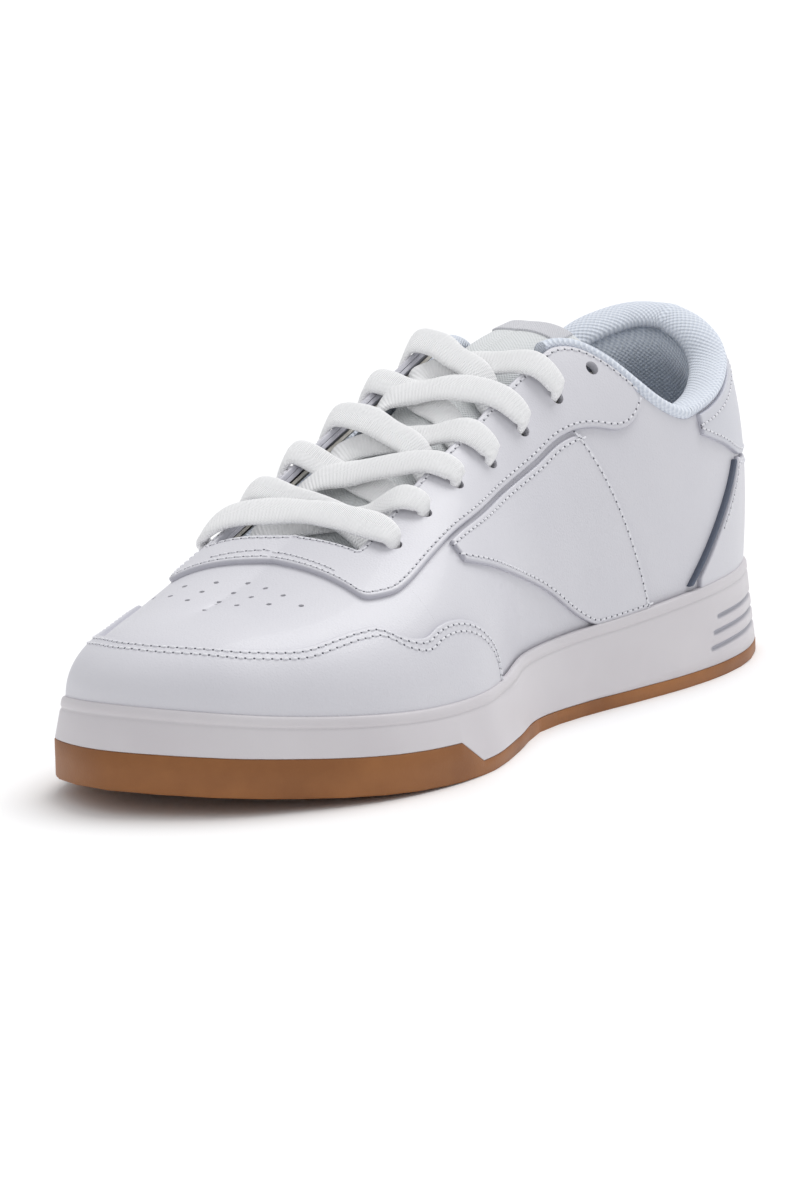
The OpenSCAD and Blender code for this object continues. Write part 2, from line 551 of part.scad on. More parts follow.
module eyestay() {
    leg = eyestay_leg();
    rows = concat([for (t = leg) leg_row(t, 1)], [for (t = [9.54, 9.8, 10.1]) corner_row(t, 1)],
        [for (f = steps(0, 1, 8)) bridge_row(f)], [for (t = [10.1, 9.8, 9.54]) corner_row(t, -1)],
        [for (i = [len(leg) - 1:-1:0]) leg_row(leg[i], -1)]);
    place = function(i, j) let (r = rows[round(i * (len(rows) - 1))]) mix(r[0], r[1], j);
    color("white") difference() {
        shell(patch(len(rows) - 1, 4, place, OVERLAY[1]), patch(len(rows) - 1, 4, place, OVERLAY[0]));
        eyelets([1, -1]);
    }
}
// The strip that backs the eyelets, between the leather and the lining.
module eyestay_backing(s) {
    ts = s > 0 ? steps(4.4, 9.5, 12) : steps(TURN - 9.5, TURN - 4.4, 12);
    color("linen") difference() {
        layer(ts, function(t) steps(v_at_ridge_dist(t, throat_half(t) + 1.6 * eyelet_inset),
            min(v_top(t) - 0.04, v_at_ridge_dist(t, throat_half(t) + 1)), 3), STIFFENER);
        eyelets([s]);
    }
}
module eyestay_backing_lateral() eyestay_backing(1);
module eyestay_backing_medial() eyestay_backing(-1);
// Least leather between an eyelet and the saddle, and least height of the saddle's tip in v.
EYELET_EDGE = 1;
SADDLE_TIP_V = 0.02;
module saddle(s) {
    function at(f, w) = mix(mix(SADDLE_BACK_FOOT, SADDLE_BACK_TOP, w), SADDLE_TIP, f);
    clear = eyelet_inset + eyelet_r + EYELET_EDGE;
    function top(t) = min(v_eyestay(t) - 0.015, v_at_ridge_dist(t, throat_half(t) + clear));
    function foot_level(t) = max(wall_top(t) + layer_gap, drawn_level(t, lookup(station(t), SADDLE_FRONT)));
    function low(t) = min(v_at_level(t, foot_level(t)), top(t) - SADDLE_TIP_V);
    place = function(f, w) let (t = at(s > 0 ? f : 1 - f, w), turned = s > 0 ? t : TURN - t)
        [turned, mix(low(turned), top(turned), w)];
    color("white") shell(patch(12, 6, place, OVERLAY[1]), patch(12, 6, place, OVERLAY[0]));
}
module saddle_lateral() saddle(1);
module saddle_medial() saddle(-1);

// Heel: the panel, the two piping strips that slant up its sides, and the tab above them.
PIPING_FOOT_Z = 28;
PIPING_TOP_Z = 64;
function piping_station(z) =
    mix(HEEL_PANEL_FOOT, HEEL_PANEL_TOP, (z - PIPING_FOOT_Z) / (PIPING_TOP_Z - PIPING_FOOT_Z));
module heel_panel() {
    seam = 0.15;
    function top_z(t) = min(lookup(station(t), HEEL_TAB_EDGE) - 1, mix(PIPING_TOP_Z, PIPING_FOOT_Z,
        (station(t) + seam - HEEL_PANEL_TOP) / (HEEL_PANEL_FOOT - HEEL_PANEL_TOP)));
    color("white") layer(concat([for (t = [3.4, 3.2]) -t], steps(-3, 3, 12), [3.2, 3.4]),
        function(t) steps(v_above_wall(t), v_at_level(t, drawn_level(t, top_z(t))), 5), OVERLAY);
}
module heel_piping(s) {
    width = 0.2;
    place = function(f, w) let (z = mix(PIPING_FOOT_Z + 1.5, PIPING_TOP_Z - 1, w),
            t = piping_station(z) + (f - 0.5) * s * width, turned = s > 0 ? t : TURN - t)
        [turned, v_at_level(turned, drawn_level(turned, z))];
    color("slategray") shell(patch(2, 8, place, OVERLAY[1] + 0.4), patch(2, 8, place, OVERLAY[0]));
}
module heel_piping_lateral() heel_piping(1);
module heel_piping_medial() heel_piping(-1);
module heel_tab()
    color("whitesmoke") layer(concat([-HEEL_TAB_END], steps(-3, 3, 12), [HEEL_TAB_END]), function(t) steps(
        v_at_level(t, drawn_level(t, lookup(station(t), HEEL_TAB_EDGE))), v_top(t) - 0.004, 4), OVERLAY);

// Tongue, hinged where it is stitched under the front of the throat.
tongue_span = function(t) let (
        a = v_at_ridge_dist(t, throat_half(t) + tongue_lap),
        b = 2 - v_at_ridge_dist(TURN - t, throat_half(TURN - t) + tongue_lap))
    concat(steps(a, 1, 4), [for (i = [1:4]) 1 + (b - 1) * i / 4]);
TONGUE_TS = concat(steps(4.05, 9.05, 10), [9.5, 9.9]);
module tongue_layer(top, bottom) layer(TONGUE_TS, tongue_span, [bottom, top]);
TONGUE_PAD = [TONGUE_TOP - TONGUE_SKIN - layer_gap - tongue_pad_t, TONGUE_TOP - TONGUE_SKIN - layer_gap];
module tongue_face() color("white") tongue_layer(TONGUE_TOP, TONGUE_TOP - TONGUE_SKIN);
module tongue_foam() color("khaki") tongue_layer(TONGUE_PAD[1], TONGUE_PAD[0]);
module tongue_lining() color("lightsteelblue")
    tongue_layer(TONGUE_PAD[0] - layer_gap, TONGUE_PAD[0] - layer_gap - TONGUE_SKIN);
module tongue_label()
    color("white") layer(steps(4.15, 4.5, 2), function(t) steps(0.78, 1.22, 6),
        [TONGUE_TOP + layer_gap / 2, TONGUE_TOP + layer_gap / 2 + 0.6]);

// Lace: a bar across the front pair of eyelets, then two runs that cross over the tongue and go into each
// eyelet from outside. The last pair of eyelets stays empty.
LACED = eyelet_n - 1;
RIDGE_DIR = unit(on_last(8, 1) - on_last(6, 1));
LACE_LIFT = 1.7;
ON_TOP = OVERLAY[1] + lace_t / 2 + LACE_LIFT;
HOLE_W = 1.3 * eyelet_r;
HOLE_T = min(lace_t, 0.7 * eyelet_r);
function over_throat(t, d, off) = let (turned = d >= 0 ? t : TURN - t)
    skin(turned, v_at_ridge_dist(turned, abs(d)), off);
function half_at(t, s) = throat_half(s > 0 ? t : TURN - t);
function eyelet_d(t, s) = s * (half_at(t, s) + eyelet_inset);
function crossing(k, s, levels) = let (a = eyelet_station(k), b = eyelet_station(k + 1),
        near = half_at(a, s), far = half_at(b, -s))
    [[over_throat(a, eyelet_d(a, s), LACE_RUN), HOLE_W, HOLE_T],
    [over_throat(mix(a, b, 0.12), s * (near - 1), LACE_RUN), lace_w, lace_t],
    [over_throat(mix(a, b, 0.33), s * near / 2, levels[0]), lace_w, lace_t],
    [over_throat(mix(a, b, 0.5), 0, levels[1]), lace_w, lace_t],
    [over_throat(mix(a, b, 0.67), -s * far / 2, levels[2]), lace_w, lace_t],
    [over_throat(mix(a, b, 0.88), -s * (far + 0.5), ON_TOP), lace_w, lace_t],
    [over_throat(b, eyelet_d(b, -s) + s * 1.5, ON_TOP), HOLE_W, HOLE_T],
    [over_throat(b, eyelet_d(b, -s), BASE[0]), HOLE_W, HOLE_T]];
function run(s, levels) = [for (k = [0:LACED - 2]) each crossing(k, k % 2 == 0 ? s : -s, levels)];
function tail_at(s, drop, off) = let (t = eyelet_t(LACED - 1, s)) skin(t, eyelet_v(t) - drop, off);
function tail(s) = [[tail_at(s, 0, LACE_RUN), HOLE_W, HOLE_T],
    [tail_at(s, 0.08, LACE_RUN), lace_w / 2, lace_t], [tail_at(s, 0.16, LACE_RUN), lace_w / 2, lace_t]];
UNDER = [LACE_RUN - 0.4, LACE_RUN - 0.1, LACE_RUN + 0.7];
OVER = [LACE_RUN + 2.6, LACE_RUN + 3.2, LACE_RUN + 4.8];
function backward(list) = [for (i = [len(list) - 1:-1:0]) list[i]];
// The side that a run ends on, after its crossings.
function end_side(s) = LACED % 2 == 0 ? -s : s;
module lace() {
    t = eyelet_station(0);
    bar = [for (s = [-1, 1]) let (d = eyelet_d(t, s)) each s < 0
        ? [[over_throat(t, d, BASE[0]), HOLE_W, HOLE_T], [over_throat(t, d + 1.5, ON_TOP), HOLE_W, HOLE_T],
            [over_throat(t, d + 10, ON_TOP + 0.5), lace_w, lace_t], [over_throat(t, 0, ON_TOP), lace_w, lace_t]]
        : [[over_throat(t, d - 10, ON_TOP + 0.5), lace_w, lace_t],
            [over_throat(t, d - 1.5, ON_TOP), HOLE_W, HOLE_T], [over_throat(t, d, BASE[0]), HOLE_W, HOLE_T]]];
    color("ghostwhite") ribbon(concat(backward(concat(run(-1, UNDER), tail(end_side(-1)))), bar,
        run(1, OVER), tail(end_side(1))), 8);
}
module aglet(s) {
    r = 1.4;
    length = 20;
    foot = tail_at(s, 0.165, LACE_RUN);
    way = unit(tail_at(s, 0.3, LACE_RUN - 1) - foot);
    color("ghostwhite") translate(foot) rotate([0, acos(way[2]), atan2(way[1], way[0])])
        cylinder(r = r, h = length, $fn = 24);
}
module aglet_lateral() aglet(1);
module aglet_medial() aglet(-1);

outsole();
cupsole();
midsole();
lasting_board();
vamp();
quarter_lateral();
quarter_medial();
toe_puff();
heel_counter();
vamp_lining();
quarter_lining();
collar_foam();
collar_roll();
mudguard();
eyestay();
eyestay_backing_lateral();
eyestay_backing_medial();
saddle_lateral();
saddle_medial();
heel_panel();
heel_tab();
heel_piping_lateral();
heel_piping_medial();
lace();
aglet_lateral();
aglet_medial();
tongue_face();
tongue_foam();
tongue_lining();
tongue_label();
sockliner();
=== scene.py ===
import math
import bmesh
import bpy
import numpy as np
from mathutils import Matrix, Vector


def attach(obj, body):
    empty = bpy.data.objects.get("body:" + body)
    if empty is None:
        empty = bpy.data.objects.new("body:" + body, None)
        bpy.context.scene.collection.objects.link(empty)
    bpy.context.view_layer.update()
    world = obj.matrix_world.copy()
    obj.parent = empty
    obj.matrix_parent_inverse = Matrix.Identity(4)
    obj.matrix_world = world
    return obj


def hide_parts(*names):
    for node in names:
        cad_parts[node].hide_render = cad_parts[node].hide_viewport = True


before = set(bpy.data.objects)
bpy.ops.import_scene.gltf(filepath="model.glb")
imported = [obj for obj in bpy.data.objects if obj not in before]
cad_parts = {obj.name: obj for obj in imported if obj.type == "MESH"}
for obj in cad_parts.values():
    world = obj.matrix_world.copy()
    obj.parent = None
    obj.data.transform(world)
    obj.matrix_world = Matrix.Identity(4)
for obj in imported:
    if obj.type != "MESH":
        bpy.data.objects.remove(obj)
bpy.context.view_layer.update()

# ---------------------------------------------------------------------------------------------
# Camera. A long lens, low and in front of the lateral toe.
view_from = math.radians(123.6)
view_above = math.radians(10.1)
view_distance = 1.604
camera_roll = math.radians(-1.4)
aim = Vector((0.0, 0.0, 0.045))
away = Vector((math.sin(view_from) * math.cos(view_above), -math.cos(view_from) * math.cos(view_above),
               math.sin(view_above)))
camera_data = bpy.data.cameras.new("catalogue_camera")
camera_data.lens = 163.8
camera_data.sensor_width = 36
camera_data.sensor_fit = "AUTO"
camera_data.shift_x = -0.0322
camera_data.shift_y = -0.0257
camera_data.clip_end = 20
camera = bpy.data.objects.new("catalogue_camera", camera_data)
bpy.context.scene.collection.objects.link(camera)
camera.location = aim + away * view_distance
camera.rotation_euler = away.to_track_quat("Z", "Y").to_euler()
camera.rotation_euler.rotate_axis("Z", camera_roll)
bpy.context.scene.camera = camera

# ---------------------------------------------------------------------------------------------
# Studio. A wide white floor under one large soft light from above and behind, and a pale sky.
def main_shader(material):
    return material.node_tree.nodes["Principled BSDF"]


bpy.context.scene.view_settings.view_transform = "Standard"
sky = bpy.data.worlds.new("studio_sky")
sky.use_nodes = True
sky_light = sky.node_tree.nodes["Background"]
sky_light.inputs["Color"].default_value = (0.98, 0.985, 1.0, 1)
sky_light.inputs["Strength"].default_value = 0.68
bpy.context.scene.world = sky

ceiling_lamp = bpy.data.lights.new("ceiling_softbox", "SUN")
ceiling_lamp.energy = 1.65
ceiling_lamp.angle = math.radians(38)
ceiling = bpy.data.objects.new("ceiling_softbox", ceiling_lamp)
ceiling.rotation_euler = Vector((-0.75, 0.1, 1.6)).to_track_quat("Z", "Y").to_euler()
bpy.context.scene.collection.objects.link(ceiling)

floor_mesh = bpy.data.meshes.new("studio_floor")
floor_reach = 30
floor_corners = [(x * floor_reach, y * floor_reach, 0) for x, y in ((-1, -1), (1, -1), (1, 1), (-1, 1))]
floor_mesh.from_pydata(floor_corners, [], [(0, 1, 2, 3)])
studio_floor = bpy.data.objects.new("studio_floor", floor_mesh)
bpy.context.scene.collection.objects.link(studio_floor)
floor_paint = bpy.data.materials.new("floor_paint")
floor_paint.use_nodes = True
main_shader(floor_paint).inputs["Base Color"].default_value = (0.96, 0.96, 0.96, 1)
main_shader(floor_paint).inputs["Roughness"].default_value = 0.7
floor_mesh.materials.append(floor_paint)

# ---------------------------------------------------------------------------------------------
# Outsole. One moulding of gum rubber with a raised bumper round the toe. Its tread and underside are the
# frame's own node; a smooth skin of the same gum is laid round its edge. The sole's plan is the closed curve
# of stations, in millimetres, that the whole shoe is built on.
millimetre = 0.001
toe_station = 14
full_turn = 28
half_length = 150
# x, lateral and medial half width, wall height, ridge x, y, z, then fullness and swell on each side.
stations = np.array([
    [0, 0, 0, 29, 46, 0, 128, 2.5, 2.5, 2, 2],
    [8, 22.5, 20, 29, 48, 0, 127, 2.5, 2.5, 2, 2],
    [29, 35, 32.5, 29, 54, -1, 125, 2.5, 2.5, 2, 2],
    [53, 40.5, 36.5, 28.5, 66, -3, 122, 2.4, 3, 2, 2.5],
    [78, 41, 36.5, 27.5, 84, -6, 118, 2.3, 4, 2, 4],
    [103, 38.5, 34.5, 26, 105, -9, 113, 2.2, 5, 1.5, 6],
    [128, 35.5, 34, 25, 128, -11, 104, 2.2, 5.5, 1.5, 8],
    [153, 36, 37, 23.5, 152, -11, 92, 2.3, 5, 1.5, 8],
    [178, 45, 43, 22, 175, -11, 79, 2.4, 4.5, 1, 5],
    [203, 52.5, 49, 22, 196, -11, 67, 2.4, 3.8, 0.5, 3],
    [228, 53, 52.5, 22.5, 214, -11, 58.5, 2.4, 3, 0, 1.5],
    [251, 47.5, 52, 24, 228, -11, 54, 2.3, 2.5, 0, 0],
    [272, 34.5, 46.5, 26, 238, -11, 51.5, 2.3, 2.3, 0, 0],
    [289, 17.5, 36, 28.5, 245, -11, 50, 2.3, 2.3, 0, 0],
    [300, -11, 11, 30.5, 248, -11, 49, 2.3, 2.3, 0, 0]])
lateral_rows = stations[:, [0, 1, 3, 4, 5, 6, 7, 9]]
medial_rows = stations[:, [0, 2, 3, 4, 5, 6, 8, 10]] * [1, -1, 1, 1, 1, 1, 1, 1]
station_loop = np.concatenate([lateral_rows, medial_rows[1:-1][::-1]])
station_loop[:, [0, 3]] -= half_length


def last_row(t):
    t = np.asarray(t, float)
    whole = np.floor(t).astype(int)
    f = (t - whole)[..., None]
    a, b, c, d = (station_loop[(whole + k) % full_turn] for k in (-1, 0, 1, 2))
    return (2 * b + (c - a) * f + (2 * a - 5 * b + 4 * c - d) * f**2 + (3 * b - a - 3 * c + d) * f**3) / 2


def outward(t):
    run = last_row(np.asarray(t) + 0.01) - last_row(np.asarray(t) - 0.01)
    side = np.stack([-run[..., 1], run[..., 0]], -1)
    return side / np.linalg.norm(side, axis=-1, keepdims=True)


def plan(t, inset):
    return last_row(t)[..., :2] - outward(t) * np.asarray(inset)[..., None]


def station(t):
    t = np.mod(t, full_turn)
    return np.where(t > toe_station, full_turn - t, t)


def sole_spring(x):
    return 7 * (np.maximum(0, x - 50) / 100) ** 2


bumper_start, bumper_ramp = 9.25, 0.45
tread_height, bumper_rise = 4, 7


def gum_top(t):
    bumper = np.clip((station(t) - bumper_start) / bumper_ramp, 0, 1)
    return sole_spring(last_row(t)[..., 0]) + tread_height + bumper_rise * bumper


def wall_top(t):
    return last_row(t)[..., 2]


def new_piece(name, points, faces, material=None, smooth=True, uv=None):
    mesh = bpy.data.meshes.new(name)
    mesh.from_pydata((np.asarray(points) * millimetre).tolist(), [], faces)
    if smooth:
        mesh.shade_smooth()
    if uv is not None:
        corner = np.empty(len(mesh.loops), int)
        mesh.loops.foreach_get("vertex_index", corner)
        layer = mesh.uv_layers.new(name="surface_mm")
        layer.data.foreach_set("uv", np.asarray(uv, float)[corner].ravel())
    if material:
        mesh.materials.append(material)
    piece = bpy.data.objects.new(name, mesh)
    bpy.context.scene.collection.objects.link(piece)
    return piece


def ring_stack(rings):
    """Faces of a stack of closed rings, each of the same even number of points, with both ends capped."""
    count = len(rings[0])
    faces = []
    for k in range(len(rings) - 1):
        for i in range(count):
            j = (i + 1) % count
            faces.append((k * count + i, (k + 1) * count + i, (k + 1) * count + j, k * count + j))
    top = (len(rings) - 1) * count
    for i in range(count // 2):
        a, b, c, d = i, i + 1, count - i - 1, (count - i) % count
        cap = [a, b] if c == b else [a, b, c]
        if d != a:
            cap.append(d)
        if len(cap) > 2:
            faces.append(tuple(cap))
            faces.append(tuple(top + k for k in reversed(cap)))
    return faces


def ring(t, inset, level):
    p = plan(t, np.broadcast_to(inset, t.shape))
    return np.column_stack([p, np.broadcast_to(level, t.shape)])


def new_material(name, colour, roughness):
    material = bpy.data.materials.new(name)
    material.use_nodes = True
    shader = main_shader(material)
    shader.inputs["Base Color"].default_value = (*colour, 1)
    shader.inputs["Roughness"].default_value = roughness
    return material


def node(material, kind, inputs=None, **settings):
    made = material.node_tree.nodes.new(kind)
    for key, value in settings.items():
        setattr(made, key, value)
    for key, value in (inputs or {}).items():
        if isinstance(value, bpy.types.NodeSocket):
            material.node_tree.links.new(value, made.inputs[key])
        else:
            made.inputs[key].default_value = value
    return made


def mottle(material, pale, dark, scale, detail=4.0, low=0.35, high=0.65):
    """Slow colour variation between two tints, in object coordinates."""
    place = node(material, "ShaderNodeTexCoord").outputs["Object"]
    cloud = node(material, "ShaderNodeTexNoise", {"Vector": place, "Scale": scale, "Detail": detail})
    ramp = node(material, "ShaderNodeValToRGB", {"Fac": cloud.outputs["Fac"]})
    ramp.color_ramp.elements[0].position = low
    ramp.color_ramp.elements[0].color = (*dark, 1)
    ramp.color_ramp.elements[1].position = high
    ramp.color_ramp.elements[1].color = (*pale, 1)
    material.node_tree.links.new(ramp.outputs["Color"], main_shader(material).inputs["Base Color"])
    return place


def scaled(material, socket, factor):
    return node(material, "ShaderNodeMath", {0: socket, 1: factor}, operation="MULTIPLY").outputs[0]


def bump(material, heights, strength, depth):
    """Bump from a list of (height socket, weight)."""
    total = None
    for height, weight in heights:
        part = scaled(material, height, weight)
        total = part if total is None else node(material, "ShaderNodeMath", {0: total, 1: part}).outputs[0]
    relief = node(material, "ShaderNodeBump", {"Strength": strength, "Distance": depth, "Height": total})
    material.node_tree.links.new(relief.outputs["Normal"], main_shader(material).inputs["Normal"])


def grainy(name, colour, roughness, pale, dark, cloud, kind, relief, **grain_inputs):
    """A mottled material with a fine grain: cloud is scale and detail, relief is strength and depth."""
    material = new_material(name, colour, roughness)
    place = mottle(material, pale, dark, *cloud)
    grain = node(material, "ShaderNodeTex" + kind, {"Vector": place, **grain_inputs})
    bump(material, [(grain.outputs["Distance" if kind == "Voronoi" else "Fac"], 1.0)], *relief)
    return material


def dress(name, material):
    """Gives a piece that keeps the frame's own shape its material."""
    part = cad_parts[name]
    part.data.materials.clear()
    part.data.materials.append(material)


gum_rubber = grainy("gum_rubber", (0.25, 0.09, 0.03), 0.5, (0.34, 0.137, 0.042), (0.25, 0.095, 0.028),
                    (38, 5), "Noise", (0.25, 0.0003), Scale=1500.0, Detail=3.0)
main_shader(gum_rubber).inputs["Specular IOR Level"].default_value = 0.35

fine_turn = np.linspace(0, full_turn, 673)[:-1]
gum_foot = sole_spring(last_row(fine_turn)[:, 0])
gum_rim = gum_top(fine_turn)
gum_proud = 0.1
gum_round = 0.6
gum_inside = 2.5
gum_rings = [ring(fine_turn, gum_inside, gum_foot + 0.3), ring(fine_turn, gum_round, gum_foot + 0.02),
             ring(fine_turn, gum_round * 0.3 - gum_proud, gum_foot + gum_round * 0.35),
             ring(fine_turn, -gum_proud, gum_foot + gum_round),
             ring(fine_turn, -gum_proud, (gum_foot + gum_rim) / 2),
             ring(fine_turn, -gum_proud, gum_rim - 0.3), ring(fine_turn, 0.25, gum_rim),
             ring(fine_turn, gum_inside, gum_rim - 0.1)]
gum_faces = []
for k in range(len(gum_rings)):
    row, next_row = k * len(fine_turn), (k + 1) % len(gum_rings) * len(fine_turn)
    for i in range(len(fine_turn)):
        j = (i + 1) % len(fine_turn)
        gum_faces.append((row + i, next_row + i, next_row + j, row + j))
gum_edge = new_piece("gum_edge", np.concatenate(gum_rings), gum_faces, gum_rubber)
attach(gum_edge, "shoe")
dress("outsole", gum_rubber)

# ---------------------------------------------------------------------------------------------
# Cupsole. A white rubber cup, moulded in one with a raised lip round its top edge and three long grooves
# round the heel, cemented and stitched to the gum tread below.
def tinted(material, share, first, second):
    """A colour between two: each is a colour or a socket, and share says how much of the second."""
    mixed = node(material, "ShaderNodeMix", {"Factor": share, "A": first, "B": second}, data_type="RGBA")
    return mixed.outputs["Result"]


white_rubber = new_material("white_rubber", (0.62, 0.595, 0.615), 0.42)
rubber_place = mottle(white_rubber, (0.635, 0.61, 0.63), (0.6, 0.572, 0.595), 26, 4)
rubber_grain, rubber_wave = (
    node(white_rubber, "ShaderNodeTexNoise", {"Vector": rubber_place, "Scale": scale, "Detail": 2.0})
    for scale in (2300.0, 70.0))
# Painted shade: each groove is darkened towards a blue grey by its depth, by up to three quarters.
groove_shade_share = node(white_rubber, "ShaderNodeAttribute", attribute_name="groove")
rubber_colour = main_shader(white_rubber).inputs["Base Color"]
groove_painted_shade = tinted(white_rubber, scaled(white_rubber, groove_shade_share.outputs["Fac"], 0.75),
                     rubber_colour.links[0].from_socket, (0.33, 0.34, 0.4, 1))
white_rubber.node_tree.links.new(groove_painted_shade, rubber_colour)
bump(white_rubber, [(rubber_grain.outputs["Fac"], 0.35), (rubber_wave.outputs["Fac"], 1.0)], 0.2, 0.0004)

wall_taper = 2.5
wall_land = 2.0
cup_top = wall_top(fine_turn)
near_heel = station(fine_turn)
groove_ends = (3.15, 3.3, 3.4)
groove_drops = (10.5, 14.8, 19.2)
groove_half = 0.95
groove_depth = 1.1
groove_fade = 0.12
# Across a groove: place in half widths, and depth as a share of the groove's.
groove_profile = ((-1.25, 0), (-0.95, 0.15), (-0.6, 0.8), (-0.2, 1), (0.2, 1), (0.6, 0.8), (0.95, 0.15),
                  (1.25, 0))
lip = 3.2
# Up the lip: distance below the top of the wall, and how far in.
lip_profile = ((lip + 0.9, 0), (lip + 0.5, 0.12), (lip, 0.4), (lip - 0.4, 0.12), (lip - 0.9, -0.1),
               (0.9, -0.1), (0.35, 0.1), (0.08, 0.45))


def wall_ring(level, sunk=0.0):
    share = np.clip((level - gum_rim) / (cup_top - gum_rim), 0, 1)
    return ring(fine_turn, wall_taper * share + sunk, level)


cup_inside = wall_taper + wall_land
cup_rings = [ring(fine_turn, 3.1, gum_foot + 3.1), ring(fine_turn, 3.1, gum_rim + 0.02),
             ring(fine_turn, 0.3, gum_rim + 0.02), ring(fine_turn, 0.05, gum_rim + 0.25)]
# Per ring, its share of a groove's depth, which sets its painted shade.
cup_shades = [np.zeros(len(fine_turn))] * len(cup_rings)
for end, drop in zip(reversed(groove_ends), reversed(groove_drops)):
    fade = np.clip((end - near_heel) / groove_fade, 0, 1)
    for share, sunk in groove_profile:
        lowest = gum_rim + 0.3 + 0.02 * len(cup_rings)
        level = np.maximum(cup_top - drop + share * groove_half, lowest)
        cup_rings.append(wall_ring(level, groove_depth * sunk * fade))
        cup_shades.append(sunk * fade)
for below, sunk in lip_profile:
    cup_rings.append(wall_ring(cup_top - below, sunk))
cup_rings += [ring(fine_turn, wall_taper + 0.9, cup_top), ring(fine_turn, cup_inside - 0.3, cup_top),
              ring(fine_turn, cup_inside, cup_top - 0.4), ring(fine_turn, cup_inside, gum_foot + 5.3)]
cup_shades += [np.zeros(len(fine_turn))] * (len(cup_rings) - len(cup_shades))
cupsole = new_piece("white_cupsole", np.concatenate(cup_rings), ring_stack(cup_rings), white_rubber)
groove_shade_layer = cupsole.data.attributes.new("groove", "FLOAT", "POINT")
groove_shade_layer.data.foreach_set("value", np.concatenate(cup_shades))
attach(cupsole, "shoe")
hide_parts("cupsole")

# ---------------------------------------------------------------------------------------------
# Inner sole parts, all hidden once the shoe is closed: a foam midsole glued into the cup and the fibre
# lasting board that the upper is pulled round. They keep the frame's own shapes.
eva_foam = grainy("eva_foam", (0.8, 0.8, 0.78), 0.85, (0.84, 0.84, 0.82), (0.72, 0.72, 0.70),
                  (600, 2), "Voronoi", (0.4, 0.0003), Scale=1400.0)
dress("midsole", eva_foam)
board_fibre = grainy("board_fibre", (0.55, 0.42, 0.28), 0.9, (0.62, 0.49, 0.34), (0.42, 0.31, 0.2),
                     (420, 8), "Noise", (0.5, 0.0003), Scale=1600.0, Detail=4.0)
dress("lasting_board", board_fibre)

# ---------------------------------------------------------------------------------------------
# Vamp. Smooth white leather drawn over the toe and lasted under it, with a triangle of punched holes.
# A place on the upper is given by its station round the plan and by v, 0 at the sole and 1 on the ridge;
# above 1 the same line runs on down the other side.
feather_inset = 5
cup_floor, midsole_heel, midsole_ball, midsole_slope = 5.2, 11, 5, 200


def midsole_top(t):
    x = last_row(t)[..., 0]
    f = np.clip((x + half_length) / midsole_slope, 0, 1)
    return sole_spring(x) + cup_floor + midsole_heel + (midsole_ball - midsole_heel) * f * f * (3 - 2 * f)


def past_ridge(t, v):
    """The same place given on its own side of the ridge."""
    t, v = np.broadcast_arrays(np.asarray(t, float), np.asarray(v, float))
    return np.where(v > 1, full_turn - np.mod(t, full_turn), t), np.where(v > 1, 2 - v, v)


def on_last(t, v):
    t, v = past_ridge(t, v)
    r = last_row(t)
    welt = r[..., 2] - 1
    arch = np.pi / 2 * np.clip(v, 0, 1)
    over = 1 - np.maximum(np.cos(arch), 0) ** (2 / r[..., 6])
    up = np.sin(arch) ** (2 / r[..., 6])
    swell = r[..., 7] * np.sin(np.pi * up)
    foot = plan(t, np.full(t.shape, feather_inset))
    xy = foot + (r[..., 3:5] - foot) * over[..., None] + outward(t) * swell[..., None]
    z = welt + (r[..., 5] - welt) * up + (midsole_top(t) + 0.1 - welt) * np.maximum(-v, 0)
    return np.concatenate([xy, z[..., None]], -1)


def unit(vectors):
    return vectors / np.maximum(np.linalg.norm(vectors, axis=-1, keepdims=True), 1e-9)


def last_normal(t, v):
    t, v = past_ridge(t, v)
    high = np.minimum(0.995, np.maximum(v, 0.005) + 0.01)
    low = np.maximum(0.001, high - 0.02)
    lean = unit(np.cross(on_last(t, high) - on_last(t, low), on_last(t + 0.02, v) - on_last(t - 0.02, v)))
    side = np.concatenate([outward(t), np.zeros(t.shape + (1,))], -1)
    return np.where((v <= 0.005)[..., None], side, lean)


def skin(t, v, off):
    return on_last(t, v) + last_normal(t, v) * np.asarray(off, float)[..., None]


def v_at_level(t, z):
    r = last_row(t)
    up = np.clip((z - r[..., 2] + 1) / (r[..., 5] - r[..., 2] + 1), 0, 1)
    return np.arcsin(up ** (r[..., 6] / 2)) * 2 / np.pi


def v_at_ridge(t, distance):
    t, distance = np.broadcast_arrays(np.asarray(t, float), np.asarray(distance, float))
    low, high = np.full(t.shape, 0.25), np.ones(t.shape)
    for _ in range(24):
        middle = (low + high) / 2
        far = np.abs(on_last(t, middle)[..., 1] - last_row(t)[..., 4]) > distance
        low, high = np.where(far, middle, low), np.where(far, high, middle)
    return (low + high) / 2


def hermite(a, b, slope_a, slope_b, span, f):
    return ((1 + 2 * f) * (1 - f) ** 2 * a + f * (1 - f) ** 2 * span * slope_a
            + f * f * (3 - 2 * f) * b + f * f * (f - 1) * span * slope_b)


def smooth_line(k, table):
    """A smooth curve through a table of (station, level)."""
    xs, ys = np.array(table, float).T
    slopes = np.gradient(ys, xs)
    i = np.clip(np.searchsorted(xs, k) - 1, 0, len(xs) - 2)
    step = xs[i + 1] - xs[i]
    f = np.clip((k - xs[i]) / step, 0, 1)
    return hermite(ys[i], ys[i + 1], slopes[i], slopes[i + 1], step, f)


def run_length(points):
    """Distance along a line of points, from its first."""
    return np.concatenate([[0], np.cumsum(np.linalg.norm(np.diff(points, axis=0), axis=-1))])


def row_lengths(place, a, off, samples=72):
    """Distance along each row from its first edge, at evenly spaced places across it."""
    b = np.linspace(0, 1, samples)
    t, v = place(a[:, None], b[None, :])
    points = skin(t, v, np.full(np.broadcast(t, v).shape, float(off)))
    run = np.linalg.norm(np.diff(points, axis=1), axis=-1)
    return b, np.concatenate([np.zeros((len(a), 1)), np.cumsum(run, 1)], 1)


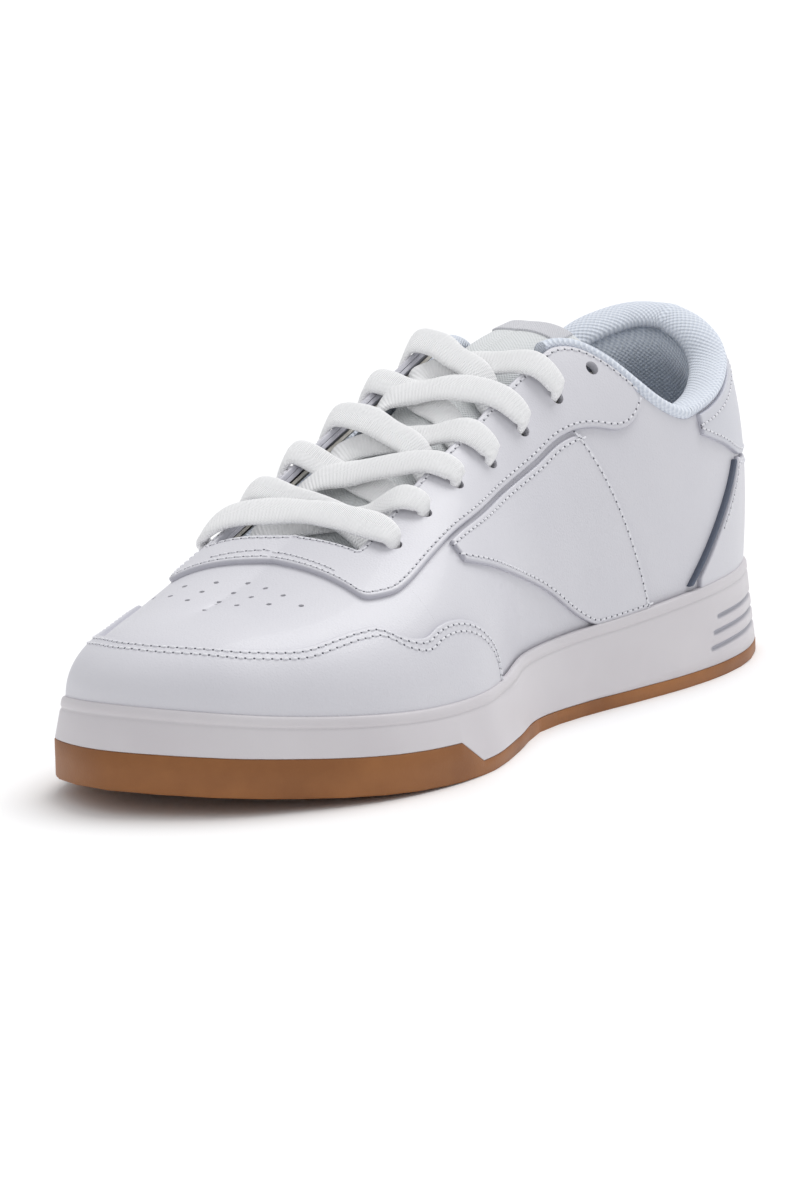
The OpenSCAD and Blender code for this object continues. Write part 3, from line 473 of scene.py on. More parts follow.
def spread(total, count, marks, first, last):
    start = marks if first else marks[:1]
    finish = total - (marks if last else marks[:1])[::-1]
    return np.concatenate([start, np.linspace(start[-1], finish[0], count + 2)[1:-1], finish])


crisp_angle = math.radians(50)


def lay(name, place, rows, columns, low, high, material, rim=0.5, edges=(1, 1, 1, 1), pillow=False,
        merge=False):
    """A closed sheet on the last. place gives station and v for a and b from 0 to 1. rim rounds the edges
    that edges names: first and last a, then first and last b. merge joins rows that meet at the toe."""
    marks = np.array([0, 0.08, 0.3, 0.62, 1.0]) * rim
    a = np.linspace(0, 1, 400)
    t, v = place(a, np.full(400, 0.5))
    along = run_length(skin(t, v, np.zeros(400)))
    a = np.interp(spread(along[-1], rows, marks, edges[0], edges[1]), along, a)
    b_fine, reach = row_lengths(place, a, high if np.isscalar(high) else 0)
    wanted = np.array([spread(r[-1], columns, marks, edges[2], edges[3]) for r in reach])
    b = np.array([np.interp(w, r, b_fine) for w, r in zip(wanted, reach)])
    t, v = place(a[:, None], b)
    t, v = np.broadcast_arrays(t, v)
    top = high(t, v) if callable(high) else np.full(t.shape, float(high))
    base = low(t, v) if callable(low) else np.full(t.shape, float(low))
    flat = skin(t, v, top)
    steps = np.linalg.norm(np.diff(flat, axis=0), axis=-1)
    down = np.concatenate([np.zeros((1, t.shape[1])), np.cumsum(steps, 0)])
    gaps = [d for d, used in zip((down, down[-1] - down, wanted, wanted[:, -1:] - wanted), edges) if used]
    gap = np.minimum.reduce(gaps) if gaps else np.full(t.shape, 9.0)
    drop = rim * (1 - np.sqrt(1 - (1 - np.clip(gap / rim, 0, 1)) ** 2))
    outer = skin(t, v, top - drop)
    inner = skin(t, v, base + (drop if pillow else 0))
    m, n = t.shape
    i, j = (k.ravel() for k in np.meshgrid(np.arange(m - 1), np.arange(n - 1), indexing="ij"))
    o = i * n + j
    faces = np.column_stack([o, o + 1, o + n + 1, o + n])
    inside = faces[:, ::-1] + m * n
    i, j = np.arange(m - 1), np.arange(n - 1)
    k = (m - 1) * n + j
    borders = [(i * n, (i + 1) * n), ((i + 2) * n - 1, (i + 1) * n - 1), (j + 1, j)]
    borders += [] if merge else [(k, k + 1)]
    rims = [np.column_stack([p, q, q + m * n, p + m * n]) for p, q in borders]
    faces = np.concatenate([faces, inside, *rims]).tolist()
    uv = np.stack([down, wanted], -1).reshape(-1, 2)
    piece = new_piece(name, np.concatenate([outer.reshape(-1, 3), inner.reshape(-1, 3)]), faces, material,
                      uv=np.concatenate([uv, uv]))
    # How much painted shade each point takes: rising within 1.4 mm of a rounded edge, and full over the inner
    # face.
    closeness = np.clip(1 - gap.ravel() / 1.4, 0, 1)
    edge = piece.data.attributes.new("edge_shade_share", "FLOAT", "POINT")
    edge.data.foreach_set("value", np.concatenate([closeness, np.ones(m * n)]))
    if merge:
        weld = bmesh.new()
        weld.from_mesh(piece.data)
        bmesh.ops.remove_doubles(weld, verts=weld.verts, dist=1e-6)
        weld.to_mesh(piece.data)
        weld.free()
    piece.data.set_sharp_from_angle(angle=crisp_angle)
    return piece


def leather(name, colour, shade, roughness, painted_edge_shade=(0.4, 0.4, 0.46)):
    """Smooth coated hide with a fine grain and soft creases, with painted shade that darkens its edges and
    its back face.
    """
    hide = new_material(name, colour, roughness)
    place = node(hide, "ShaderNodeTexCoord").outputs["Object"]

    def noise(scale, **inputs):
        inputs = {"Vector": place, "Scale": scale, "Detail": 3.0, **inputs}
        return node(hide, "ShaderNodeTexNoise", inputs).outputs["Fac"]

    edge = node(hide, "ShaderNodeAttribute", attribute_name="edge_shade_share")
    # Painted shade: within about 1.4 mm of the edges, and over the whole back face, the colour is drawn
    # towards the painted edge shade.
    cut = node(hide, "ShaderNodeMath", {0: edge.outputs["Fac"], 1: 4.0}, operation="POWER").outputs[0]
    tint = tinted(hide, noise(34.0), (*colour, 1), (*shade, 1))
    shader = main_shader(hide)
    edge_shaded_tint = tinted(hide, scaled(hide, cut, 0.6), tint, (*painted_edge_shade, 1))
    hide.node_tree.links.new(edge_shaded_tint, shader.inputs["Base Color"])
    pebble = node(hide, "ShaderNodeTexVoronoi", {"Vector": place, "Scale": 950.0, "Randomness": 1.0},
                  feature="DISTANCE_TO_EDGE")
    pore, crease = noise(1900.0), noise(55.0, Distortion=0.6)
    bump(hide, [(pebble.outputs["Distance"], 0.5), (pore, 0.25), (crease, 1.4)], 0.28, 0.0005)
    patchy = node(hide, "ShaderNodeMapRange",
                  {"Value": pore, "To Min": roughness - 0.06, "To Max": roughness + 0.1})
    hide.node_tree.links.new(patchy.outputs["Result"], shader.inputs["Roughness"])
    shader.inputs["Coat Weight"].default_value = 0.06
    return hide


white_leather = leather("white_leather", (0.665, 0.66, 0.695), (0.62, 0.615, 0.66), 0.44)


vamp_start = 9.5505
tucked = -0.3
leather_back = -1.3


def front_place(a, b):
    t = vamp_start + (toe_station - vamp_start) * a
    return t, tucked + 2 * (1 - tucked) * b


vamp = lay("vamp_leather", front_place, 130, 170, leather_back, 0.0, white_leather,
           edges=(0, 0, 0, 0), merge=True)


def instancer(name, prototype, material):
    """Puts a copy of prototype every Pitch along each line, X along the line and Z along the line's up."""
    tree = bpy.data.node_groups.new(name, "GeometryNodeTree")
    tree.interface.new_socket("Geometry", in_out="INPUT", socket_type="NodeSocketGeometry")
    pitch = tree.interface.new_socket("Pitch", in_out="INPUT", socket_type="NodeSocketFloat")
    shape = tree.interface.new_socket("Prototype", in_out="INPUT", socket_type="NodeSocketObject")
    paint = tree.interface.new_socket("Material", in_out="INPUT", socket_type="NodeSocketMaterial")
    tree.interface.new_socket("Geometry", in_out="OUTPUT", socket_type="NodeSocketGeometry")
    add, link = tree.nodes.new, tree.links.new
    group_in, group_out = add("NodeGroupInput"), add("NodeGroupOutput")
    curve = add("GeometryNodeMeshToCurve")
    resample = add("GeometryNodeResampleCurve")
    resample.mode = "LENGTH"
    tangent = add("GeometryNodeInputTangent")
    up = add("GeometryNodeInputNamedAttribute")
    up.data_type = "FLOAT_VECTOR"
    up.inputs["Name"].default_value = "up"
    turn_x, turn_z = add("FunctionNodeAlignRotationToVector"), add("FunctionNodeAlignRotationToVector")
    turn_x.axis = "X"
    turn_z.axis, turn_z.pivot_axis = "Z", "X"
    source = add("GeometryNodeObjectInfo")
    copies = add("GeometryNodeInstanceOnPoints")
    real = add("GeometryNodeRealizeInstances")
    painted = add("GeometryNodeSetMaterial")
    link(group_in.outputs["Geometry"], curve.inputs["Mesh"])
    link(curve.outputs["Curve"], resample.inputs["Curve"])
    link(group_in.outputs["Pitch"], resample.inputs["Length"])
    link(group_in.outputs["Prototype"], source.inputs["Object"])
    link(tangent.outputs["Tangent"], turn_x.inputs["Vector"])
    link(turn_x.outputs["Rotation"], turn_z.inputs["Rotation"])
    link(up.outputs["Attribute"], turn_z.inputs["Vector"])
    link(resample.outputs["Curve"], copies.inputs["Points"])
    link(source.outputs["Geometry"], copies.inputs["Instance"])
    link(turn_z.outputs["Rotation"], copies.inputs["Rotation"])
    link(copies.outputs["Instances"], real.inputs["Geometry"])
    link(real.outputs["Geometry"], painted.inputs["Geometry"])
    link(group_in.outputs["Material"], painted.inputs["Material"])
    link(painted.outputs["Geometry"], group_out.inputs["Geometry"])
    return tree, pitch.identifier, shape.identifier, paint.identifier, prototype, material


def instance_lines(name, lines, pitch, maker):
    """lines: a list of (points, ups) in millimetres. Returns one plain mesh of all the copies."""
    tree, pitch_id, shape_id, paint_id, prototype, material = maker
    points = np.concatenate([p for p, _ in lines]) * millimetre
    ups = np.concatenate([u for _, u in lines])
    edges, start = [], 0
    for p, _ in lines:
        edges += [(start + k, start + k + 1) for k in range(len(p) - 1)]
        start += len(p)
    mesh = bpy.data.meshes.new(name + "_line")
    mesh.from_pydata(points.tolist(), edges, [])
    up = mesh.attributes.new("up", "FLOAT_VECTOR", "POINT")
    up.data.foreach_set("vector", ups.ravel())
    carrier = bpy.data.objects.new(name + "_line", mesh)
    bpy.context.scene.collection.objects.link(carrier)
    nodes = carrier.modifiers.new("copies", "NODES")
    nodes.node_group = tree
    nodes[pitch_id] = pitch * millimetre
    nodes[shape_id] = prototype
    nodes[paint_id] = material
    bpy.context.view_layer.update()
    made = bpy.data.meshes.new_from_object(carrier.evaluated_get(bpy.context.evaluated_depsgraph_get()))
    made.name = name
    bpy.data.objects.remove(carrier)
    result = bpy.data.objects.new(name, made)
    bpy.context.scene.collection.objects.link(result)
    return result


def drill(piece, punches):
    """Cuts the closed punches out of a piece, and leaves a plain mesh."""
    cut = piece.modifiers.new("cut", "BOOLEAN")
    cut.operation = "DIFFERENCE"
    cut.solver = "EXACT"
    cut.object = punches
    bpy.context.view_layer.update()
    made = bpy.data.meshes.new_from_object(piece.evaluated_get(bpy.context.evaluated_depsgraph_get()))
    piece.modifiers.remove(cut)
    weld = bmesh.new()
    weld.from_mesh(made)
    bmesh.ops.dissolve_degenerate(weld, edges=weld.edges, dist=2e-6)
    many_sided = [face for face in weld.faces if len(face.verts) > 4]
    bmesh.ops.triangulate(weld, faces=many_sided, ngon_method="BEAUTY")
    weld.to_mesh(made)
    weld.free()
    made.set_sharp_from_angle(angle=crisp_angle)
    piece.data = made


def punches(name, radius, low, high, sides, seats):
    """One object of round bars, a copy moved by each matrix in seats."""
    angle = (np.arange(sides) + 0.37) * 2 * np.pi / sides
    circle = np.column_stack([radius * np.cos(angle), radius * np.sin(angle)])
    points = np.concatenate([np.column_stack([circle, np.full(sides, z)]) for z in (low, high)])
    faces = [(i, (i + 1) % sides, sides + (i + 1) % sides, sides + i) for i in range(sides)]
    faces += [tuple(range(sides))[::-1], tuple(range(sides, 2 * sides))]
    bar = new_piece(name, points, faces, smooth=False)
    together = bmesh.new()
    for seat in seats:
        copy = bar.data.copy()
        copy.transform(seat)
        together.from_mesh(copy)
        bpy.data.meshes.remove(copy)
    together.to_mesh(bar.data)
    together.free()
    return bar


# Four columns of holes that shorten away from the middle. The middle one stands a little off the ridge, so
# that no hole is centred on a row of the leather's own mesh.
hole_radius = 0.8
hole_pitch, hole_column_gap = 7.0, 8.5
hole_front, hole_middle, punch_foot = 102, -10.93, 29
hole_seats = []
for column, count in enumerate((4, 3, 2, 1)):
    for s in ((1,) if column == 0 else (-1, 1)):
        for row in range(count):
            x = hole_front - column * hole_pitch / 2 - row * hole_pitch
            y = hole_middle + s * column * hole_column_gap
            hole_seats.append(Matrix.Translation(Vector((x, y, punch_foot)) * millimetre))
punch = punches("hole_punch", hole_radius, 0, 60, 20, hole_seats)
drill(vamp, punch)
bpy.data.objects.remove(punch)
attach(vamp, "shoe")
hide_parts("vamp")


# Knit lining behind the vamp, cut to the same pattern.
def knit(name, colour, shade, pitch, depth=0.0004, roughness=0.85, chevron=False):
    """A fine knit of staggered dots, or of slanting loops for a lace. The cloth's map is in millimetres."""
    cloth = new_material(name, colour, roughness)
    cloth_map = node(cloth, "ShaderNodeUVMap", uv_map="surface_mm")
    split = node(cloth, "ShaderNodeSeparateXYZ", {"Vector": cloth_map.outputs["UV"]})

    def wave(socket, size):
        turned = scaled(cloth, socket, 2 * math.pi / size)
        return node(cloth, "ShaderNodeMath", {0: turned}, operation="SINE").outputs[0]

    along, across = split.outputs["X"], split.outputs["Y"]
    if chevron:
        fold = node(cloth, "ShaderNodeMath", {0: across}, operation="ABSOLUTE").outputs[0]
        along = node(cloth, "ShaderNodeMath", {0: along, 1: fold}).outputs[0]
        across = node(cloth, "ShaderNodeMath", {0: across, 1: 0.25 * pitch}).outputs[0]
    rows, columns = wave(along, pitch), wave(across, pitch)
    height = node(cloth, "ShaderNodeMath", {0: rows, 1: columns}, operation="MULTIPLY").outputs[0]
    place = node(cloth, "ShaderNodeTexCoord").outputs["Object"]
    fuzz = node(cloth, "ShaderNodeTexNoise", {"Vector": place, "Scale": 2600.0, "Detail": 2.0}).outputs["Fac"]
    # Painted shade: the low places of the knit take the darker shade colour, its high places the full colour.
    share = node(cloth, "ShaderNodeMapRange", {"Value": height, "From Min": -0.8, "From Max": 0.8})
    tint = tinted(cloth, share.outputs["Result"], (*shade, 1), (*colour, 1))
    shader = main_shader(cloth)
    cloth.node_tree.links.new(tint, shader.inputs["Base Color"])
    shader.inputs["Sheen Weight"].default_value = 0.25
    bump(cloth, [(height, 1.0), (fuzz, 0.6)], 0.6, depth)
    return cloth


lining_knit = knit("lining_knit", (0.84, 0.89, 0.96), (0.6, 0.655, 0.745), 1.8, 0.0004)
lining_back, lining_front = -4.4, -3.4
vamp_lining = lay("vamp_lining_cloth", front_place, 70, 100, lining_back, lining_front, lining_knit,
                  edges=(1, 0, 0, 0), merge=True)
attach(vamp_lining, "shoe")
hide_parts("vamp_lining")

# ---------------------------------------------------------------------------------------------
# Quarters. One leather panel a side, from the heel seam to the vamp, with its collar edge turned over and
# seven eyelets punched along the throat. A moulded counter and fibre strips stiffen them from inside.
collar_lateral = [[0, 104], [0.5, 101], [1, 96], [1.5, 90.5], [2, 86.5], [2.6, 82.5], [3.1, 80.5], [3.4, 80],
                  [3.7, 82.5], [3.95, 86.5], [4.2, 92.5], [4.45, 99.5], [4.65, 103.5], [4.9, 105], [5.2, 104]]
collar_medial = [[0, 104], [1, 104.5], [1.5, 103], [2, 100], [2.5, 94], [3, 86], [3.3, 82], [3.6, 82],
                 [3.9, 86], [4.2, 93], [4.5, 100], [4.8, 103], [5.2, 103]]
throat_back, throat_front = 5.2, 9.55
eyelet_count = 7
eyelet_radius = 2.2
eyelet_inset = 8
eyelet_first, eyelet_last = 9.15, 4.7
seam_gap = 0.0005


def is_lateral(t):
    return np.mod(t, full_turn) <= toe_station


def throat_half(t):
    f = (station(t) - throat_back) / (throat_front - throat_back)
    return np.where(is_lateral(t), 20.5 + 3.5 * f, 15 + 9 * f)


def v_top(t):
    k = station(t)
    collar = np.where(is_lateral(t), smooth_line(k, collar_lateral), smooth_line(k, collar_medial))
    return np.where(k < throat_back, v_at_level(t, collar), v_at_ridge(t, throat_half(t)))


def mix(a, b, f):
    return a + (b - a) * f


def on_side(t, s):
    return t if s > 0 else full_turn - t


def quarter_place(sign):
    def place(a, b):
        t = on_side(mix(seam_gap, throat_front - seam_gap, a if sign > 0 else 1 - a), sign)
        return t, mix(tucked, v_top(t), b)
    return place


def eyelet_station(i):
    return mix(eyelet_first, eyelet_last, i / (eyelet_count - 1))


eyelet_seats = []
for s in (1, -1):
    for i in range(eyelet_count):
        t = on_side(eyelet_station(i), s)
        v = float(v_at_ridge(t, throat_half(t) + eyelet_inset))
        face = Vector(last_normal(t, v)).to_track_quat("Z", "Y").to_matrix().to_4x4()
        eyelet_seats.append(Matrix.Translation(Vector(on_last(t, v) * millimetre)) @ face)
eyelet_punch = punches("eyelet_punch", eyelet_radius, -9, 4, 28, eyelet_seats)

for side_name, sign in (("lateral", 1), ("medial", -1)):
    quarter = lay("quarter_leather_" + side_name, quarter_place(sign), 220, 70, leather_back, 0.0,
                  white_leather, edges=(0, 0, 0, 1))
    drill(quarter, eyelet_punch)
    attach(quarter, "shoe")
    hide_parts("quarter_" + side_name)

stiffener = grainy("stiffener", (0.72, 0.69, 0.62), 0.8, (0.76, 0.73, 0.66), (0.62, 0.59, 0.52),
                   (300, 6), "Noise", (0.4, 0.0002), Scale=2200.0)
for name in ("toe_puff", "heel_counter", "eyestay_backing_lateral", "eyestay_backing_medial"):
    dress(name, stiffener)

# ---------------------------------------------------------------------------------------------
# Collar. Knit lining over foam, fullest just under the edge, and a rolled knit binding along the topline.
pad_fullness = 7.5
pad_reach, pad_end, pad_lean = 0.27, 4.3, 0.58
counter_top = 58.0


def padding(t, v):
    f = (v_top(t) - v) / pad_reach
    fade = np.clip(pad_end - station(t), 0, 1)
    bulge = np.sin(np.pi * np.clip(f, 0, 1) ** pad_lean)
    return np.where((v < 0) | (f > 1) | (f < 0), 0, pad_fullness * fade * bulge)


def lining_place(a, b):
    t = mix(-throat_front + 0.01, throat_front - 0.01, a)
    return t, mix(tucked, v_top(t), b)


collar_lining = lay("collar_lining_cloth", lining_place, 420, 90, lambda t, v: lining_back - padding(t, v),
                    lambda t, v: lining_front - padding(t, v), lining_knit, rim=0.4)
drill(collar_lining, eyelet_punch)
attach(collar_lining, "shoe")
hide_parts("quarter_lining")

soft_foam = grainy("soft_foam", (0.78, 0.72, 0.5), 0.9, (0.82, 0.76, 0.54), (0.66, 0.6, 0.4),
                   (500, 3), "Voronoi", (0.5, 0.0003), Scale=1500.0)


def foam_place(a, b):
    t = mix(-4.1, 4.1, a)
    low = np.maximum(v_top(t) - 0.26, v_at_level(t, counter_top) + 0.02)
    return t, mix(low, v_top(t) - 0.01, b)


collar_foam = lay("collar_foam_pad", foam_place, 90, 20, lambda t, v: -2.5 - padding(t, v), -1.9, soft_foam,
                  rim=0.3)
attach(collar_foam, "shoe")
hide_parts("collar_foam")


def tube(name, points, ups, half_wide, half_thick, sides, material, power=2.0):
    """A closed tube along points, its width across ups. Its map runs along and round it, in millimetres."""
    along = unit(np.gradient(points, axis=0))
    wide = unit(ups - along * np.sum(along * ups, -1, keepdims=True))
    thick = np.cross(along, wide)
    angle = (np.arange(sides) + 0.5) * 2 * np.pi / sides
    c, s = np.cos(angle), np.sin(angle)
    c, s = np.sign(c) * np.abs(c) ** (2 / power), np.sign(s) * np.abs(s) ** (2 / power)
    rings = (points[:, None] + wide[:, None] * (half_wide[:, None] * c)[..., None]
             + thick[:, None] * (half_thick[:, None] * s)[..., None])
    count = len(points)
    i, k = (g.ravel() for g in np.meshgrid(np.arange(count - 1), np.arange(sides), indexing="ij"))
    a, b = i * sides + k, i * sides + (k + 1) % sides
    faces = np.column_stack([a, b, b + sides, a + sides]).tolist()
    faces += [tuple(range(sides))[::-1], tuple(range((count - 1) * sides, count * sides))]
    run = run_length(points)
    round_it = half_wide.max() * c
    uv = np.stack(np.broadcast_arrays(run[:, None], round_it[None, :]), -1)
    return new_piece(name, rings.reshape(-1, 3), faces, material, uv=uv.reshape(-1, 2))


roll_radius = 2.2
roll_overlap = 0.4
roll_t = np.linspace(-5.1, 5.1, 620)


def topline(t):
    return skin(t, v_top(t), np.full(np.shape(t), -1.5))


roll_along = unit(topline(roll_t + 0.05) - topline(roll_t - 0.05))
roll_out = last_normal(roll_t, v_top(roll_t))
roll_up = unit(np.cross(roll_along, roll_out))
roll_line = topline(roll_t) + roll_up * (roll_radius - roll_overlap)
for _ in range(6):
    roll_line[1:-1] = (roll_line[:-2] + 2 * roll_line[1:-1] + roll_line[2:]) / 4
roll_fuller = 3.0 * np.clip((4.5 - np.abs(roll_t)) / 1.2, 0, 1)
roll_wide = roll_radius + 0.9 + roll_fuller
roll_tall = roll_radius + 0.2 * roll_fuller
roll_line -= roll_out * roll_fuller[:, None]
collar_knit = knit("collar_knit", (0.82, 0.865, 0.94), (0.66, 0.71, 0.8), 1.8, 0.0004)
collar_roll = tube("collar_binding", roll_line, roll_out, roll_wide, roll_tall, 28, collar_knit)
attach(collar_roll, "shoe")
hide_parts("collar_roll")

# ---------------------------------------------------------------------------------------------
# Overlays. Cut leather panels stitched on top of the vamp and the quarters: the mudguard round the toe,
# the one-piece eyestay round the throat, a plain side panel each side, the heel panel and its tab.
overlay_under, overlay_top = 0.02, 1.6
mudguard_edge = [[8.2, 24], [8.4, 32], [8.7, 38.5], [9, 42], [9.3, 43.2], [9.6, 42.5], [9.9, 40.5],
                 [10.2, 41.5], [10.5, 44.5], [10.8, 44.5], [11.2, 43.5], [11.7, 42], [12.4, 42.5],
                 [13.2, 43.7], [14, 44.2]]
eyestay_edge = [[4.2, 86], [4.45, 81.5], [4.7, 80.3], [5, 82], [5.3, 82.6], [5.6, 81.5], [6.25, 75.7],
                [7.15, 69.2], [8.3, 63], [8.95, 58], [9.5, 53.5], [9.8, 51.5], [10.1, 51]]
saddle_front = [[4.4, 24], [5.5, 25], [6.6, 41], [7.85, 52.4], [8.5, 56.5]]
tab_edge = [[-0.01, 62], [1, 62.5], [2, 64.5], [2.5, 69], [3.1, 74]]
mudguard_foot, tab_end = 8.2, 3.1
saddle_back_foot, saddle_back_top, saddle_tip = 4.5, 5.35, 8.45
# The slanting seam each side of the heel: its station and height at the foot and at the top.
heel_seam_foot, heel_seam_top = (3.7, 28), (2.1, 64)


def v_above_wall(t):
    return v_at_level(t, wall_top(t) - 0.6)


def mudguard_place(a, b):
    t = mix(mudguard_foot, full_turn - mudguard_foot, a)
    return t, mix(v_above_wall(t), v_at_level(t, smooth_line(station(t), mudguard_edge)), b)


def v_eyestay(t):
    return v_at_level(t, smooth_line(station(t), eyestay_edge))


def leg_row(t, s):
    low, top = float(v_eyestay(on_side(t, s))), float(v_top(on_side(t, s)))
    return [t, low, t, top] if s > 0 else [t, 2 - low, t, 2 - top]


def corner_row(t, s):
    near, far = leg_row(throat_front - 0.01, s), leg_row(t, s)
    return [far[0], far[1], near[2], mix(near[3], 1, (t - throat_front) * 0.12)]


def bridge_row(f):
    a, b = corner_row(10.1, 1), corner_row(10.1, -1)
    return [10.3, mix(a[1] + 0.02, b[1] - 0.02, f), a[2], mix(a[3], b[3], mix(0.06, 0.94, f))]


leg = np.linspace(4.2, 9.2, 60)
corner = (9.54, 9.8, 10.1)
eyestay_rows = np.array([leg_row(t, 1) for t in leg] + [corner_row(t, 1) for t in corner]
                        + [bridge_row(f) for f in np.linspace(0, 1, 9)]
                        + [corner_row(t, -1) for t in corner[::-1]] + [leg_row(t, -1) for t in leg[::-1]])
eyestay_steps = run_length(skin(eyestay_rows[:, 0], eyestay_rows[:, 1], np.zeros(len(eyestay_rows))))
eyestay_even = np.linspace(0, eyestay_steps[-1], 700)
eyestay_fine = np.array([np.interp(eyestay_even, eyestay_steps, c) for c in eyestay_rows.T])
for _ in range(30):
    eyestay_fine[:, 1:-1] = (eyestay_fine[:, :-2] + 2 * eyestay_fine[:, 1:-1] + eyestay_fine[:, 2:]) / 4


def eyestay_place(a, b):
    rows = [np.interp(a * eyestay_even[-1], eyestay_even, c) for c in eyestay_fine]
    return mix(rows[0], rows[2], b), mix(rows[1], rows[3], b)


def saddle_place(sign):
    def place(a, b):
        back = mix(saddle_back_foot, saddle_back_top, b)
        t = on_side(mix(back, saddle_tip, a if sign > 0 else 1 - a), sign)
        foot = np.maximum(wall_top(t) - 0.6, smooth_line(station(t), saddle_front))
        return t, mix(v_at_level(t, foot), v_eyestay(t) - 0.015, b)
    return place


def heel_place(a, b):
    t = mix(-3.4, 3.4, a)
    (foot_t, foot_z), (top_t, top_z) = heel_seam_foot, heel_seam_top
    slant = mix(top_z, foot_z, (station(t) + 0.15 - top_t) / (foot_t - top_t))
    top = np.minimum(smooth_line(station(t), tab_edge) - 1, slant)
    return t, mix(v_above_wall(t), v_at_level(t, top), b)


def tab_place(a, b):
    t = mix(-tab_end, tab_end, a)
    return t, mix(v_at_level(t, smooth_line(station(t), tab_edge)), v_top(t) - 0.004, b)


overlays = [("mudguard", mudguard_place, 420, 40), ("eyestay", eyestay_place, 420, 20),
            ("saddle_lateral", saddle_place(1), 110, 60), ("saddle_medial", saddle_place(-1), 110, 60),
            ("heel_panel", heel_place, 200, 40)]
for name, place, rows, columns in overlays:
    panel = lay(name + "_leather", place, rows, columns, overlay_under, overlay_top, white_leather, rim=0.7)
    if name == "eyestay":
        drill(panel, eyelet_punch)
    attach(panel, "shoe")
    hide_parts(name)

tab_leather = leather("tab_leather", (0.64, 0.645, 0.685), (0.6, 0.605, 0.655), 0.48)
heel_tab = lay("heel_tab_leather", tab_place, 180, 50, overlay_under, overlay_top, tab_leather, rim=0.7)
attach(heel_tab, "shoe")
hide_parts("heel_tab")
bpy.data.objects.remove(eyelet_punch)

# Slate-grey piping over the slanting seam each side of the heel.
# Its last colour is the painted shade on its edges and back face.
slate_piping = leather("slate_piping", (0.105, 0.125, 0.175), (0.08, 0.1, 0.145), 0.5, (0.05, 0.06, 0.09))
# Width of the piping, as a share of a station.
piping_wide = 0.075


def piping_place(sign):
    def place(a, b):
        (foot_t, foot_z), (top_t, top_z) = heel_seam_foot, heel_seam_top
        z = mix(foot_z + 1.5, top_z - 1, b)
        middle = mix(foot_t, top_t, (z - foot_z) / (top_z - foot_z))
        t = on_side(middle + (a - 0.5) * sign * piping_wide, sign)
        return t, v_at_level(t, z)
    return place


for side_name, sign in (("lateral", 1), ("medial", -1)):
    piping = lay("piping_" + side_name, piping_place(sign), 14, 80, overlay_under, overlay_top + 0.15,
                 slate_piping, rim=0.8)
    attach(piping, "shoe")
    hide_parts("heel_piping_" + side_name)

# ---------------------------------------------------------------------------------------------
# Seam stitching. White bonded thread in short lock stitches, each end sinking into its needle hole.
def edge_line(place, edge, distance, start=0.0, end=1.0, count=420, off=overlay_top):
    """Points and normals on a panel at a distance in from one of its edges."""
    if edge in ("low", "top"):
        a = np.linspace(start, end, count)
        b_fine, reach = row_lengths(place, a, off)
        wanted = distance if edge == "low" else reach[:, -1] - distance
        b = np.array([np.interp(w, r, b_fine) for w, r in zip(np.broadcast_to(wanted, a.shape), reach)])
    else:
        b = np.linspace(start, end, count)
        a = np.zeros(count)
        for k, value in enumerate(b):
            steps = np.linspace(0, 0.25, 40) if edge == "first" else np.linspace(1, 0.75, 40)
            t, v = place(steps, np.full(40, value))
            a[k] = np.interp(distance, run_length(skin(t, v, np.zeros(40))), steps)
    t, v = place(a, b)
    return skin(t, v, np.full(count, off)), last_normal(t, v)


thread = grainy("white_thread", (0.8, 0.8, 0.83), 0.6, (0.82, 0.82, 0.85), (0.72, 0.72, 0.76),
                (900, 2), "Wave", (0.4, 0.0001), Scale=900.0, Distortion=1.0)
# Painted shade: the needle holes are not cut; a small near-black plug set into the leather between stitches
# stands in for the shade in each.
needle_shade_paint = new_material("needle_hole_painted_shade", (0.1, 0.1, 0.12), 0.9)
mottle(needle_shade_paint, (0.13, 0.13, 0.15), (0.07, 0.07, 0.09), 800, 2)

stitch_pitch, stitch_reach = 2.5, 0.98
thread_radius, needle_radius = 0.26, 0.33
stitch_rings, stitch_sides = 7, 8


def bar_faces(rings, sides):
    """Faces of a bar given ring by ring, with both ends capped."""
    faces = []
    for k in range(rings - 1):
        for q in range(sides):
            a, b = k * sides + q, k * sides + (q + 1) % sides
            faces.append((a, b, b + sides, a + sides))
    return faces + [tuple(range(sides))[::-1], tuple(range((rings - 1) * sides, rings * sides))]


stitch_points = []
for f in np.linspace(-1, 1, stitch_rings):
    sink = 0.16 - 0.34 * f**4
    thickness = thread_radius * (1 - 0.5 * f**6)
    for angle in np.arange(stitch_sides) * 2 * math.pi / stitch_sides:
        stitch_points.append((f * stitch_reach, thickness * 1.15 * math.cos(angle),
                              sink + thickness * math.sin(angle)))
needle_plug_points = [(stitch_pitch / 2 + needle_radius * math.cos(angle), needle_radius * math.sin(angle), z)
               for z in (-0.1, 0.03) for angle in np.arange(8) * math.pi / 4]
stitch_shape = new_piece("stitch_shape", stitch_points, bar_faces(stitch_rings, stitch_sides))
hole_shape = new_piece("hole_shape", needle_plug_points, bar_faces(2, 8), smooth=False)

